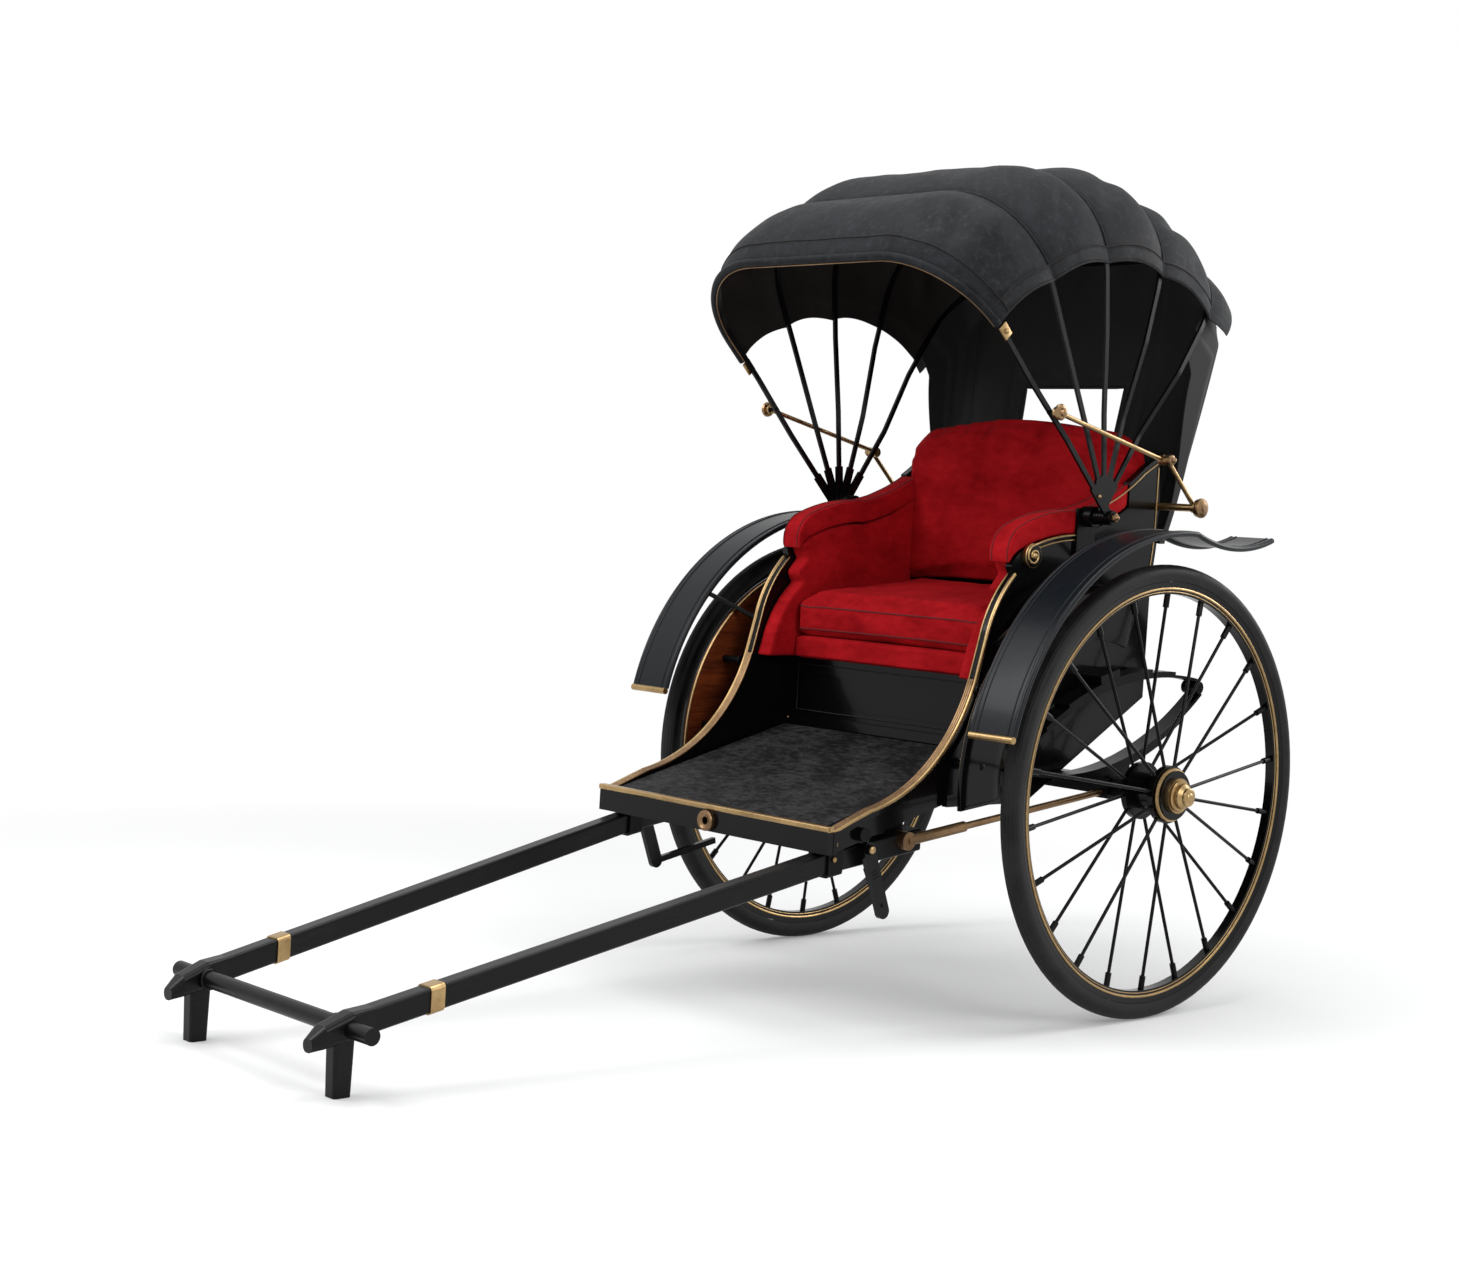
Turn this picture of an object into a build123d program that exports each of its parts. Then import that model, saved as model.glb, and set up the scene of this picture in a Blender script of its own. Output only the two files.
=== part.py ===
import math
import os

from build123d import *

# Pulled rickshaw, parked on its shaft legs, in millimetres.
# X runs forward to the shafts, Y to the vehicle's left, Z up.
# Pieces are drawn with the middle of the axle at zero and moved to the row frame at the end.

# body: the lower line rises rearward at the parked slope, then curls up into the back
park_slope = 15.0
body_front_x = 852.0
body_back_x = -195.0
body_front_z = -124.0
body_curl_radius = 600.0
body_half_width = 367.0
panel_thickness = 18.0
floor_frame_height = 26.0
floor_board_thickness = 20.0
sill_width = 44.0
sill_inset = 40.0
cross_member_x = (330.0, 560.0, 800.0)
mat_thickness = 5.0
mat_margin = 14.0
front_board_thickness = 16.0
front_board_overlap = 6.0
front_edge_height = 12.0
front_edge_overhang = 4.0
front_edge_round = 3.5
socket_radius = 22.0
socket_bore = 9.0
socket_length = 25.0
bead_width = 11.0
bead_height = 7.0

# side outline, from the front corner round the sweep and the arm to the back corner
sweep_low = (741.0, -36.0)
sweep_mid = (577.0, 38.0)
sweep_high = (431.0, 242.0)
rise_top = (406.0, 331.0)
under_arm_mid = (374.0, 413.0)
under_arm = (322.0, 478.0)
arm_nose = (338.0, 536.0)
arm_front = (300.0, 588.0)
arm_mid = (200.0, 621.0)
arm_rear = (110.0, 632.0)
shoulder_mid = (-10.0, 670.0)
shoulder = (-130.0, 742.0)
back_corner_z = 780.0

# seat and upholstery
kick_panel_x = 295.0
kick_recess_margin = 24.0
kick_recess_depth = 4.0
kick_ledge_height = 22.0
kick_ledge_depth = 12.0
seat_board_z = 237.0
seat_board_thickness = 15.0
seat_pad_front_x = 345.0
seat_pad_height = 55.0
cushion_front_x = 356.0
cushion_front_height = 92.0
cushion_rear_height = 145.0
cushion_edge_radius = 26.0
cushion_tuck = 30.0
back_cushion_depth = 100.0
back_cushion_top_z = 850.0
back_cushion_corner = 120.0
back_cushion_rise = 62.0
back_panel_top_z = 790.0
side_pad_thickness = 45.0
side_pad_inset = 16.0
arm_pad_drop = 58.0
arm_pad_width = 66.0
arm_pad_low_z = 470.0
soft_gap = 0.5
scroll_at = (268.0, 522.0)
scroll_radius = 26.0
scroll_thickness = 9.0

# wheels and axle
tyre_radius = 520.0
tyre_height = 38.0
tyre_width = 46.0
tyre_shoulder = 16.0
rim_depth = 28.0
rim_width = 36.0
rim_taper = 7.0
spoke_count = 22
spoke_radius = 4.0
spoke_seat = 3.0
nipple_radius = 7.0
nipple_length = 34.0
hub_barrel_radius = 42.0
hub_flange_radius = 66.0
hub_flange_width = 14.0
hub_flange_spread = 30.0
hub_nose_radius = 56.0
hub_nose_length = 16.0
cap_collar_radius = 40.0
cap_collar_length = 10.0
cap_radius = 28.0
cap_length = 34.0
cap_dome = 9.0
spindle_radius = 15.0
running_clearance = 0.05
axle_beam = 40.0
axle_shoulder_gap = 8.0
axle_end_gap = 2.0

# splash boards and fenders, struck from the axle
splash_radius = 515.0
splash_thickness = 15.0
splash_low_angle = -4.0
splash_high_angle = 108.0
splash_low_z = 200.0
bead_clearance = 1.0
fender_radius = 592.0
fender_thickness = 5.0
fender_width = 120.0
fender_roll_radius = 6.0
fender_front_angle = 14.0
fender_top_angle = 92.0
fender_dip = (-180.0, 564.0)
fender_tail = (-312.0, 588.0)
fender_lip_radius = 8.0
fender_stay_radius = 6.0
fender_stay_inset = 24.0
fender_stay_reach = 14.0
fender_stay_angles = (40.0, 84.0)

# springs, tilted with the parked body
spring_centre = (15.0, 142.0)
spring_half_length = 330.0
spring_half_height = 108.0
spring_gap = 16.0
leaf_width = 44.0
leaf_thickness = 7.0
leaf_gap = 0.2
leaf_spans = (1.0, 0.72, 0.46)
eye_gap = 13.0
shackle_radius = 15.0
shackle_inset = 3.0
clamp_length = 70.0
clamp_height = 18.0
saddle_height = 30.0
saddle_strap = 8.0
wheel_gap = 110.0

# shafts; heights at the front end are measured from the ground
shaft_height = 48.0
shaft_width = 40.0
shaft_corner = 7.0
shaft_inset = 44.0
shaft_converge = 67.0
shaft_clamp_x = 823.0
shaft_clamp_z = -146.0
shaft_rear_x = 566.0
shaft_rear_z = -108.0
shaft_front_x = 1915.0
shaft_front_height = 137.5
tip_length = 125.0
tip_swell = 8.0
tip_swell_share = 0.36
tip_brow_share = 0.80
tip_brow_height = 42.0
tip_nose_width = 30.0
tip_nose_height = 26.0
tip_corner = 12.0
cross_bar_back = 77.0
cross_bar_height = 125.0
cross_bar_radius = 17.5
stub_radius = 16.5
stub_length = 62.0
leg_forward = 10.0
leg_width = 34.0
leg_depth_top = 46.0
leg_depth_foot = 38.0
leg_corner = 7.0
band_back = 115.0
band_length = 30.0
band_thickness = 3.0
clamp_strap = 6.0
clamp_strap_length = 40.0
clamp_strap_back = 26.0
packing_length = 60.0
packing_inset = 6.0
rod_radius = 8.0
rod_sleeve_radius = 12.0
rod_sleeve_share = 0.28
rod_eye_radius = 20.0
rod_eye_width = 18.0
rod_front = (618.0, -107.0)
rod_rear_z = -14.0

# prop legs on the outer faces of the shafts
prop_pivot = (743.0, -118.0)
prop_length = 180.0
prop_width = 33.0
prop_thickness = 12.0
prop_lean = 22.0
prop_pin_radius = 7.0
prop_pin_head = 11.0
prop_pin_head_length = 4.0
prop_gap = 5.0
prop_boss_x = 767.0
prop_boss_rise = 16.0
prop_boss_radius = 15.0
prop_boss_length = 16.0
brace_length = 190.0
brace_width = 14.0
brace_rise = 12.0

# folding hood
hood_pivot = (86.0, 618.0)
bow_angles = (44.0, 64.0, 84.0, 104.0, 124.0)
bow_thickness = 6.5
bow_width = 12.0
bow_play = 2.0
bow_stack_gap = 35.75
bow_inset = 10.0
bow_height = 775.0
bow_corner = 230.0
bow_straight = 125.0
bow_jog_low = 235.0
bow_jog_bend = 90.0
bow_lug_width = 22.0
bow_lug_length = 96.0
bow_eye_radius = 17.0
pivot_pin_radius = 8.0
pivot_head_radius = 16.0
pivot_head_length = 6.0
pivot_boss_radius = 24.0
pivot_plate_width = 64.0
pivot_plate_thickness = 8.0
pivot_plate_drop = 95.0
pivot_plate_rise = 18.0
cover_gap = 0.3
cover_thickness = 3.0
cover_hem = 520.0
cover_seam_angle = 0.4
curtain_foot = (-222.0, 566.0)
curtain_bulge = 14.0
curtain_foot_gap = 5.0
curtain_shoulder = 0.30
wing_low_r = 480.0
wing_mid = (-172.0, 800.0)
wing_knob_room = 15.0

# hood stays
stay_top_r = 321.0
stay_elbow = (-73.0, 759.0)
stay_foot = (-190.0, 654.0)
stay_gap = 9.0
stay_play = 3.0
stay_rod_radius = 5.5
stay_eye_radius = 12.0
stay_pin_radius = 5.0
stay_pin_end = 3.0
knob_radius = 21.0
knob_length = 15.0
knob_arm_radius = 9.0
knob_gap = 0.3

slope = math.tan(math.radians(park_slope))
sin_p = math.sin(math.radians(park_slope))
cos_p = math.cos(math.radians(park_slope))
ground = -tyre_radius
panel_in = body_half_width - panel_thickness
splash_out = body_half_width + splash_thickness
leaf_in = splash_out + spring_gap
leaf_out = leaf_in + leaf_width
spring_y = (leaf_in + leaf_out) / 2
wheel_y = leaf_out + wheel_gap
far_out = 4 * (body_front_x - body_back_x)
tip_end_x = shaft_front_x + tip_length
shift_x = -(tip_end_x - tyre_radius) / 2
low = (Align.CENTER, Align.CENTER, Align.MIN)
nodes = {}


def keep(name, *solids):
    nodes[name] = Compound(children=[Pos(shift_x, 0, tyre_radius) * s for s in solids])


def both(solid):
    return [solid, mirror(solid, about=Plane.XZ)]


def keep_pair(name, solid):
    for side, piece in zip(("left", "right"), both(solid)):
        keep(name + "_" + side, piece)


def block(x0, x1, y0, y1, z0, z1):
    return Pos((x0 + x1) / 2, (y0 + y1) / 2, (z0 + z1) / 2) * Box(x1 - x0, y1 - y0, z1 - z0)


def slab(face, y0, y1):
    return extrude(Plane.XZ.offset(-y1) * face, amount=y1 - y0, dir=(0, -1, 0))


def rod(start, end, radius):
    run = Vector(*end) - Vector(*start)
    return Plane(origin=start, z_dir=run) * Cylinder(radius, run.length, align=low)


def pin_y(at, y0, y1, radius):
    return rod((at[0], y0, at[1]), (at[0], y1, at[1]), radius)


def polar(centre, radius, degrees):
    a = math.radians(degrees)
    return (centre[0] + radius * math.cos(a), centre[1] + radius * math.sin(a))


def biggest(shape):
    return shape.solids().sort_by(SortBy.VOLUME)[-1]


def turned(points, y):
    face = make_face(Polyline(*points, close=True))
    return Pos(0, y, 0) * Rot(-90, 0, 0) * revolve(Plane.XZ * face, Axis.Z)


# wheels
rim_outer = tyre_radius - tyre_height - soft_gap
rim_inner = rim_outer - rim_depth
flange_out = hub_flange_spread + hub_flange_width
nose_out = flange_out + hub_nose_length


def wheel_nodes(side, name):
    y = side * wheel_y
    section = Pos(tyre_radius - tyre_height / 2, 0) * RectangleRounded(tyre_height, tyre_width, tyre_shoulder)
    keep("tyre_" + name, Pos(0, y, 0) * Rot(-90, 0, 0) * revolve(Plane.XZ * section, Axis.Z))

    half = rim_width / 2
    keep("rim_" + name, turned([
        (rim_inner, rim_taper - half),
        (rim_outer, -half),
        (rim_outer, half),
        (rim_inner, half - rim_taper),
    ], y))

    bore = spindle_radius + running_clearance
    hub_points = [
        (bore, -flange_out),
        (hub_flange_radius, -flange_out),
        (hub_flange_radius, -hub_flange_spread),
        (hub_barrel_radius, -hub_flange_spread),
        (hub_barrel_radius, hub_flange_spread),
        (hub_flange_radius, hub_flange_spread),
        (hub_flange_radius, flange_out),
        (hub_nose_radius, flange_out),
        (hub_nose_radius, nose_out),
        (bore, nose_out),
    ]
    keep("hub_" + name, turned([(r, side * a) for r, a in hub_points], y))

    cap_points = [
        (0, nose_out),
        (cap_collar_radius, nose_out),
        (cap_collar_radius, nose_out + cap_collar_length),
        (cap_radius, nose_out + cap_collar_length),
        (cap_radius, nose_out + cap_length - cap_dome),
        (cap_radius - cap_dome, nose_out + cap_length),
        (0, nose_out + cap_length),
    ]
    keep("hub_cap_" + name, turned([(r, side * a) for r, a in cap_points], y))

    spokes = []
    flange_mid = hub_flange_spread + hub_flange_width / 2
    for i in range(spoke_count):
        foot = Vector(hub_flange_radius - spoke_seat, flange_mid if i % 2 else -flange_mid, 0)
        head = Vector(rim_inner + spoke_seat, 0, 0)
        start = head - (head - foot).normalized() * nipple_length
        spoke = rod(tuple(foot), tuple(head), spoke_radius) + rod(tuple(start), tuple(head), nipple_radius)
        spokes.append(Pos(0, y, 0) * Rot(0, 360.0 * (i + 0.5) / spoke_count, 0) * spoke)
    keep("spokes_" + name, *spokes)


wheel_nodes(1, "left")
wheel_nodes(-1, "right")

beam_end = wheel_y - flange_out - axle_shoulder_gap
spindle_end = wheel_y + nose_out - axle_end_gap
half_beam = axle_beam / 2
axle = block(-half_beam, half_beam, -beam_end, beam_end, -half_beam, half_beam)
keep("axle", axle + pin_y((0, 0), -spindle_end, spindle_end, spindle_radius))


# body lines seen from the side
def floor_line(x, above=0.0):
    return body_front_z + (body_front_x - x) * slope + above / cos_p


curl_x = body_back_x + body_curl_radius
curl_centre = (curl_x, floor_line(curl_x, body_curl_radius))
curl_low = 270 - park_slope
curl_middle = (180 + curl_low) / 2
floor_top = floor_frame_height + floor_board_thickness
board_top = floor_line(body_front_x, floor_top)
front_top = board_top + front_edge_height


def curl_points(above):
    radius = body_curl_radius - above
    return [polar(curl_centre, radius, a) for a in (curl_low, curl_middle, 180)]


def body_strip(near, far, front_x):
    a = curl_points(near)
    b = curl_points(far)
    top = back_cushion_top_z + body_half_width
    return make_face(Curve() + [
        Line((front_x, floor_line(front_x, near)), a[0]),
        ThreePointArc(*a),
        Line(a[2], (a[2][0], top)),
        Line((a[2][0], top), (b[2][0], top)),
        Line((b[2][0], top), b[2]),
        ThreePointArc(b[2], b[1], b[0]),
        Line(b[0], (front_x, floor_line(front_x, far))),
        Line((front_x, floor_line(front_x, far)), (front_x, floor_line(front_x, near))),
    ])


def side_outline():
    curl = curl_points(0)
    return make_face(Curve() + [
        Line((body_front_x, body_front_z), (body_front_x, board_top)),
        Line((body_front_x, board_top), sweep_low),
        ThreePointArc(sweep_low, sweep_mid, sweep_high),
        Line(sweep_high, rise_top),
        ThreePointArc(rise_top, under_arm_mid, under_arm),
        ThreePointArc(under_arm, arm_nose, arm_front),
        ThreePointArc(arm_front, arm_mid, arm_rear),
        ThreePointArc(arm_rear, shoulder_mid, shoulder),
        Line(shoulder, (body_back_x, back_corner_z)),
        Line((body_back_x, back_corner_z), curl[2]),
        ThreePointArc(curl[2], curl[1], curl[0]),
        Line(curl[0], (body_front_x, body_front_z)),
    ])


def zone(x0, x1, z0, z1):
    return Pos((x0 + x1) / 2, (z0 + z1) / 2) * Rectangle(x1 - x0, z1 - z0)


outline = side_outline()
back_in = body_back_x + panel_thickness + soft_gap
back_front = back_in + back_cushion_depth
arm_zone = zone(back_front + soft_gap, body_front_x, arm_pad_low_z, far_out)
lowered = Pos(0, -arm_pad_drop) * outline
arm_face = (outline - lowered) & arm_zone
keep_pair("side_panel", slab(outline - arm_face, panel_in, body_half_width))
keep("arm_pads", *both(slab(arm_face, body_half_width - arm_pad_width, body_half_width)))

soft_half = panel_in - soft_gap
pad_zone = zone(back_front + soft_gap, body_front_x, seat_board_z + soft_gap, far_out)
tub_zone = block(-far_out, kick_panel_x, -far_out, far_out, -far_out, far_out)
tub_room = slab(body_strip(-body_half_width, panel_thickness + soft_gap, body_front_x), -panel_in, panel_in)
tub_room = tub_room & tub_zone
side_pad_face = (Pos(-side_pad_inset, 0) * outline) & (Pos(0, -soft_gap) * lowered) & pad_zone
side_pad = slab(side_pad_face, soft_half - side_pad_thickness, soft_half)
keep("side_pads", *both(biggest(side_pad - tub_room)))

bead_zone = zone(under_arm[0], body_front_x, body_front_z, under_arm[1])
bead_face = (outline - Pos(-bead_width, -bead_width) * outline) & bead_zone
bead = slab(bead_face, body_half_width, body_half_width + bead_height)
scroll = pin_y(scroll_at, body_half_width, body_half_width + scroll_thickness, scroll_radius)
keep("edge_beads", *both(bead), *both(scroll))

# floor frame, boards, mat and front board
kick_back_x = kick_panel_x - panel_thickness
floor_zone = block(kick_back_x, body_front_x, -far_out, far_out, -far_out, far_out)
frame_strip = body_strip(0, floor_frame_height, body_front_x)
sill_out = panel_in - sill_inset
sill_in = sill_out - sill_width
sill = slab(frame_strip, sill_in, sill_out) & floor_zone
frame = sill + mirror(sill, about=Plane.XZ)
for x in cross_member_x:
    member = slab(frame_strip, -sill_in, sill_in)
    frame = frame + (member & block(x, x + sill_width, -far_out, far_out, -far_out, far_out))
keep("floor_frame", frame)
board_strip = body_strip(floor_frame_height, floor_top, body_front_x)
keep("floor_board", slab(board_strip, -panel_in, panel_in) & floor_zone)
mat_half = panel_in - mat_margin
mat = slab(body_strip(floor_top, floor_top + mat_thickness, body_front_x), -mat_half, mat_half)
mat_rear_x = kick_panel_x + kick_ledge_depth + mat_margin
keep("floor_mat", mat & block(mat_rear_x, body_front_x - mat_margin, -far_out, far_out, -far_out, far_out))

board_half = body_half_width + front_board_overlap
board_out = body_front_x + front_board_thickness
socket_z = (body_front_z + board_top) / 2
socket_end = body_front_x + socket_length
front_board = block(body_front_x, board_out, -board_half, board_half, body_front_z, board_top)
keep("front_board", front_board - rod((body_front_x, 0, socket_z), (socket_end, 0, socket_z), socket_radius))
front_edge = block(body_front_x, board_out + front_edge_overhang, -board_half, board_half, board_top, front_top)
keep("front_edge", fillet(front_edge.edges().filter_by(Axis.Y), front_edge_round))
socket = rod((body_front_x, 0, socket_z), (socket_end, 0, socket_z), socket_radius)
keep("front_socket", socket - rod((body_front_x, 0, socket_z), (socket_end, 0, socket_z), socket_bore))

# back panel, seat box and cushions
tub = slab(body_strip(0, panel_thickness, body_front_x), -panel_in, panel_in)
tub_shape = RectangleRounded(2 * panel_in, 2 * far_out, back_cushion_corner)
tub_shape = Plane.YZ.offset(body_back_x) * (Pos(0, back_panel_top_z - far_out) * tub_shape)
keep("back_panel", tub & extrude(tub_shape, amount=kick_back_x - body_back_x, dir=(1, 0, 0)))

kick_top = seat_board_z - seat_board_thickness
kick_floor = floor_line(kick_panel_x + kick_ledge_depth, floor_top)
kick = block(kick_back_x, kick_panel_x, -panel_in, panel_in, kick_floor, kick_top)
ledge_top = floor_line(kick_panel_x, floor_top) + kick_ledge_height
kick = kick + block(kick_back_x, kick_panel_x + kick_ledge_depth, -panel_in, panel_in, kick_floor, ledge_top)
recess_half = panel_in - kick_recess_margin
kick = kick - block(kick_panel_x - kick_recess_depth, kick_panel_x, -recess_half, recess_half,
                    ledge_top + kick_recess_margin, kick_top - kick_recess_margin)
kick = kick - slab(body_strip(-floor_top, floor_top, body_front_x), -panel_in, panel_in)
seat_board = block(body_back_x, kick_panel_x, -panel_in, panel_in, kick_top, seat_board_z) - tub_room
keep("seat_box", biggest(kick), biggest(seat_board))

seat_rear_x = back_front - cushion_tuck
seat_half = soft_half - side_pad_thickness - soft_gap
pad_top = seat_board_z + seat_pad_height
pad = block(seat_rear_x, seat_pad_front_x, -seat_half, seat_half, seat_board_z + soft_gap, pad_top)
keep("seat_pad", biggest(pad - tub_room))
cushion_z = pad_top + soft_gap
cushion_face = make_face(Polyline(
    (seat_rear_x, cushion_z),
    (cushion_front_x, cushion_z),
    (cushion_front_x, cushion_z + cushion_front_height),
    (seat_rear_x, cushion_z + cushion_rear_height),
    close=True))
cushion = slab(cushion_face, -seat_half, seat_half)
cushion = fillet(cushion.edges().group_by(Axis.X)[-1].filter_by(Axis.Y), cushion_edge_radius)
keep("seat_cushion", biggest(cushion - tub_room))

back_low = cushion_z + cushion_rear_height + soft_gap
back_side = back_cushion_top_z - back_cushion_rise
back_face = make_face(Curve() + [
    Line((-soft_half, back_low), (soft_half, back_low)),
    Line((soft_half, back_low), (soft_half, back_side)),
    ThreePointArc((soft_half, back_side), (0, back_cushion_top_z), (-soft_half, back_side)),
    Line((-soft_half, back_side), (-soft_half, back_low)),
])
back_face = fillet(back_face.vertices().group_by(Axis.Y)[-1], back_cushion_corner)
back_cushion = extrude(Plane.YZ.offset(back_in) * back_face, amount=back_cushion_depth, dir=(1, 0, 0))
keep("back_cushion", biggest(back_cushion - tub_room))

# splash boards, flat against the outside of the body
middle = (splash_low_angle + splash_high_angle) / 2
splash_arc = [polar((0, 0), splash_radius, a) for a in (splash_low_angle, middle, splash_high_angle)]
splash_low = (curl_points(0)[0][0], splash_arc[0][1])
splash_face = make_face(Curve() + [
    ThreePointArc(*splash_arc),
    Line(splash_arc[2], (splash_arc[2][0], splash_low_z)),
    Line((splash_arc[2][0], splash_low_z), splash_low),
    Line(splash_low, splash_arc[0]),
])
splash = slab(splash_face, body_half_width, splash_out)
bead_room = slab(offset(bead_face, bead_clearance), 0, far_out)
splash_board = biggest(splash - bead_room)
keep_pair("splash_board", splash_board)

# fenders with rolled edges
fender_angles = (fender_front_angle, (fender_front_angle + fender_top_angle) / 2, fender_top_angle)
fender_in = wheel_y - fender_width / 2
fender_out = wheel_y + fender_width / 2


def fender_strip(below, above):
    under = [polar((0, 0), fender_radius - below, a) for a in fender_angles]
    over = [polar((0, 0), fender_radius + above, a) for a in fender_angles]
    dip = (fender_dip[0], fender_dip[1] - below)
    tail = (fender_tail[0], fender_tail[1] - below)
    dip_over = (fender_dip[0], fender_dip[1] + above)
    tail_over = (fender_tail[0], fender_tail[1] + above)
    return make_face(Curve() + [
        ThreePointArc(*under),
        ThreePointArc(under[2], dip, tail),
        Line(tail, tail_over),
        ThreePointArc(tail_over, dip_over, over[2]),
        ThreePointArc(over[2], over[1], over[0]),
        Line(over[0], under[0]),
    ])


fender_face = fender_strip(0, fender_thickness)
roll_face = fender_strip(fender_roll_radius, fender_thickness)
fender = slab(fender_face, fender_in, fender_out)
fender = fender + slab(roll_face, fender_in, fender_in + fender_roll_radius)
fender = fender + slab(roll_face, fender_out - fender_roll_radius, fender_out)
keep_pair("fender", fender)
lip_turn = math.degrees((fender_lip_radius - 1) / fender_radius)
lip_at = polar((0, 0), fender_radius + fender_thickness / 2, fender_front_angle - lip_turn)
keep("fender_lips", *both(pin_y(lip_at, fender_in, fender_out, fender_lip_radius) - fender))

stays = []
for degrees in fender_stay_angles:
    foot = polar((0, 0), splash_radius - fender_stay_inset, degrees)
    head = polar((0, 0), fender_radius + fender_thickness / 2, degrees)
    stay = rod((foot[0], body_half_width, foot[1]), (head[0], fender_in + fender_stay_reach, head[1]),
               fender_stay_radius)
    stays.extend(both(biggest(stay - splash - fender)))
keep("fender_stays", *stays)

# full elliptic springs with clamps
leaf_step = leaf_thickness + leaf_gap
leaf_rise = spring_half_height - len(leaf_spans) * leaf_step - eye_gap
leaf_radius = (spring_half_length ** 2 + leaf_rise ** 2) / (2 * leaf_rise)
leaf_centre_z = eye_gap + leaf_rise - leaf_radius


def leaf(sign, span, depth):
    turn = math.degrees(math.asin(spring_half_length * span / leaf_radius))
    arcs = []
    for r in (leaf_radius + depth, leaf_radius + depth + leaf_thickness):
        arcs.append([polar((0, leaf_centre_z), r, a) for a in (90 + turn, 90, 90 - turn)])
    face = make_face(Curve() + [
        ThreePointArc(*arcs[0]),
        Line(arcs[0][2], arcs[1][2]),
        ThreePointArc(arcs[1][2], arcs[1][1], arcs[1][0]),
        Line(arcs[1][0], arcs[0][0]),
    ])
    return face if sign > 0 else mirror(face, about=Plane.XZ)


def spring_place(face):
    return slab(Pos(*spring_centre) * Rot(0, 0, -park_slope) * face, leaf_in, leaf_out)


def spring_point(x, z):
    return (spring_centre[0] + x * cos_p + z * sin_p, spring_centre[1] - x * sin_p + z * cos_p)


leaves = []
for sign in (1, -1):
    for i, span in enumerate(leaf_spans):
        leaves.append(spring_place(leaf(sign, span, i * leaf_step)))
shackles = []
for sign in (1, -1):
    shackle_at = spring_point(sign * (spring_half_length - shackle_inset), 0)
    shackle = pin_y(shackle_at, leaf_in, leaf_out, shackle_radius)
    for piece in leaves:
        shackle = shackle - piece
    shackles.append(biggest(shackle))
keep("springs", *[s for solid in leaves + shackles for s in both(solid)])

top_at = spring_point(0, spring_half_height + clamp_height / 2)
top_face = Pos(*top_at) * Rot(0, 0, -park_slope) * Rectangle(clamp_length, clamp_height)
top_clamp = slab(top_face, splash_out, leaf_out)
low_at = spring_point(0, -spring_half_height)
saddle = block(low_at[0] - clamp_length / 2, low_at[0] + clamp_length / 2, leaf_in, leaf_out,
               half_beam, half_beam + saddle_height)
for piece in leaves:
    top_clamp = top_clamp - piece
    saddle = saddle - piece
strap_out = half_beam + saddle_strap
strap = block(-strap_out, strap_out, leaf_in, leaf_out, -strap_out, half_beam)
strap = strap - block(-half_beam, half_beam, 0, far_out, -half_beam, half_beam)
saddle_low = saddle.solids().sort_by(Axis.Z)[0]
keep("spring_clamps", *both(biggest(top_clamp)), *both(saddle_low + strap))

# shafts with tips, legs, bands and clamps
shaft_clamp_y = body_half_width - shaft_inset
shaft_front_y = shaft_clamp_y - shaft_converge
shaft_front_z = ground + shaft_front_height
cross_bar = (tip_end_x - cross_bar_back, ground + cross_bar_height)


def shaft_y(x):
    share = (x - shaft_clamp_x) / (shaft_front_x - shaft_clamp_x)
    return shaft_clamp_y + share * (shaft_front_y - shaft_clamp_y)


def shaft_z(x):
    if x < shaft_clamp_x:
        share = (x - shaft_clamp_x) / (shaft_rear_x - shaft_clamp_x)
        return shaft_clamp_z + share * (shaft_rear_z - shaft_clamp_z)
    share = (x - shaft_clamp_x) / (shaft_front_x - shaft_clamp_x)
    return shaft_clamp_z + share * (shaft_front_z - shaft_clamp_z)


def section(x, z, width, height, corner):
    plane = Plane(origin=(x, shaft_y(x), z), x_dir=(0, 1, 0), z_dir=(1, 0, 0))
    return plane * RectangleRounded(width, height, corner)


def sleeve(x_range, grow, corner):
    ends = [section(x, shaft_z(x), shaft_width + grow, shaft_height + grow, corner) for x in x_range]
    return loft(ends, ruled=True)


stations = (shaft_rear_x, shaft_clamp_x, shaft_front_x)
shaft = loft([section(x, shaft_z(x), shaft_width, shaft_height, shaft_corner) for x in stations], ruled=True)
keep_pair("shaft", shaft)

tip_swell_x = shaft_front_x + tip_length * tip_swell_share
tip_brow_x = shaft_front_x + tip_length * tip_brow_share
tip_width = shaft_width + tip_swell
tip_height = shaft_height + tip_swell / 2
tip_table = [
    {"x": shaft_front_x, "width": shaft_width, "height": shaft_height, "corner": shaft_corner},
    {"x": tip_swell_x, "width": tip_width, "height": tip_height, "corner": tip_corner},
    {"x": tip_brow_x, "width": shaft_width + tip_swell / 2, "height": tip_brow_height, "corner": tip_corner},
    {"x": tip_end_x, "width": tip_nose_width, "height": tip_nose_height, "corner": tip_corner},
]
tip_sections = []
for row in tip_table:
    z = shaft_z(row["x"]) - shaft_height / 2 + row["height"] / 2
    tip_sections.append(section(row["x"], z, row["width"], row["height"], row["corner"]))
tip_whole = loft(tip_sections, ruled=True)
bar_hole = pin_y(cross_bar, 0, far_out, cross_bar_radius)
keep("shaft_tips", *both(tip_whole - bar_hole))

bar_reach = shaft_y(cross_bar[0]) + tip_width / 2
stub_end = bar_reach + stub_length
bar = pin_y(cross_bar, -bar_reach, bar_reach, cross_bar_radius)
keep("cross_bar", bar + pin_y(cross_bar, -stub_end, stub_end, stub_radius))

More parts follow.
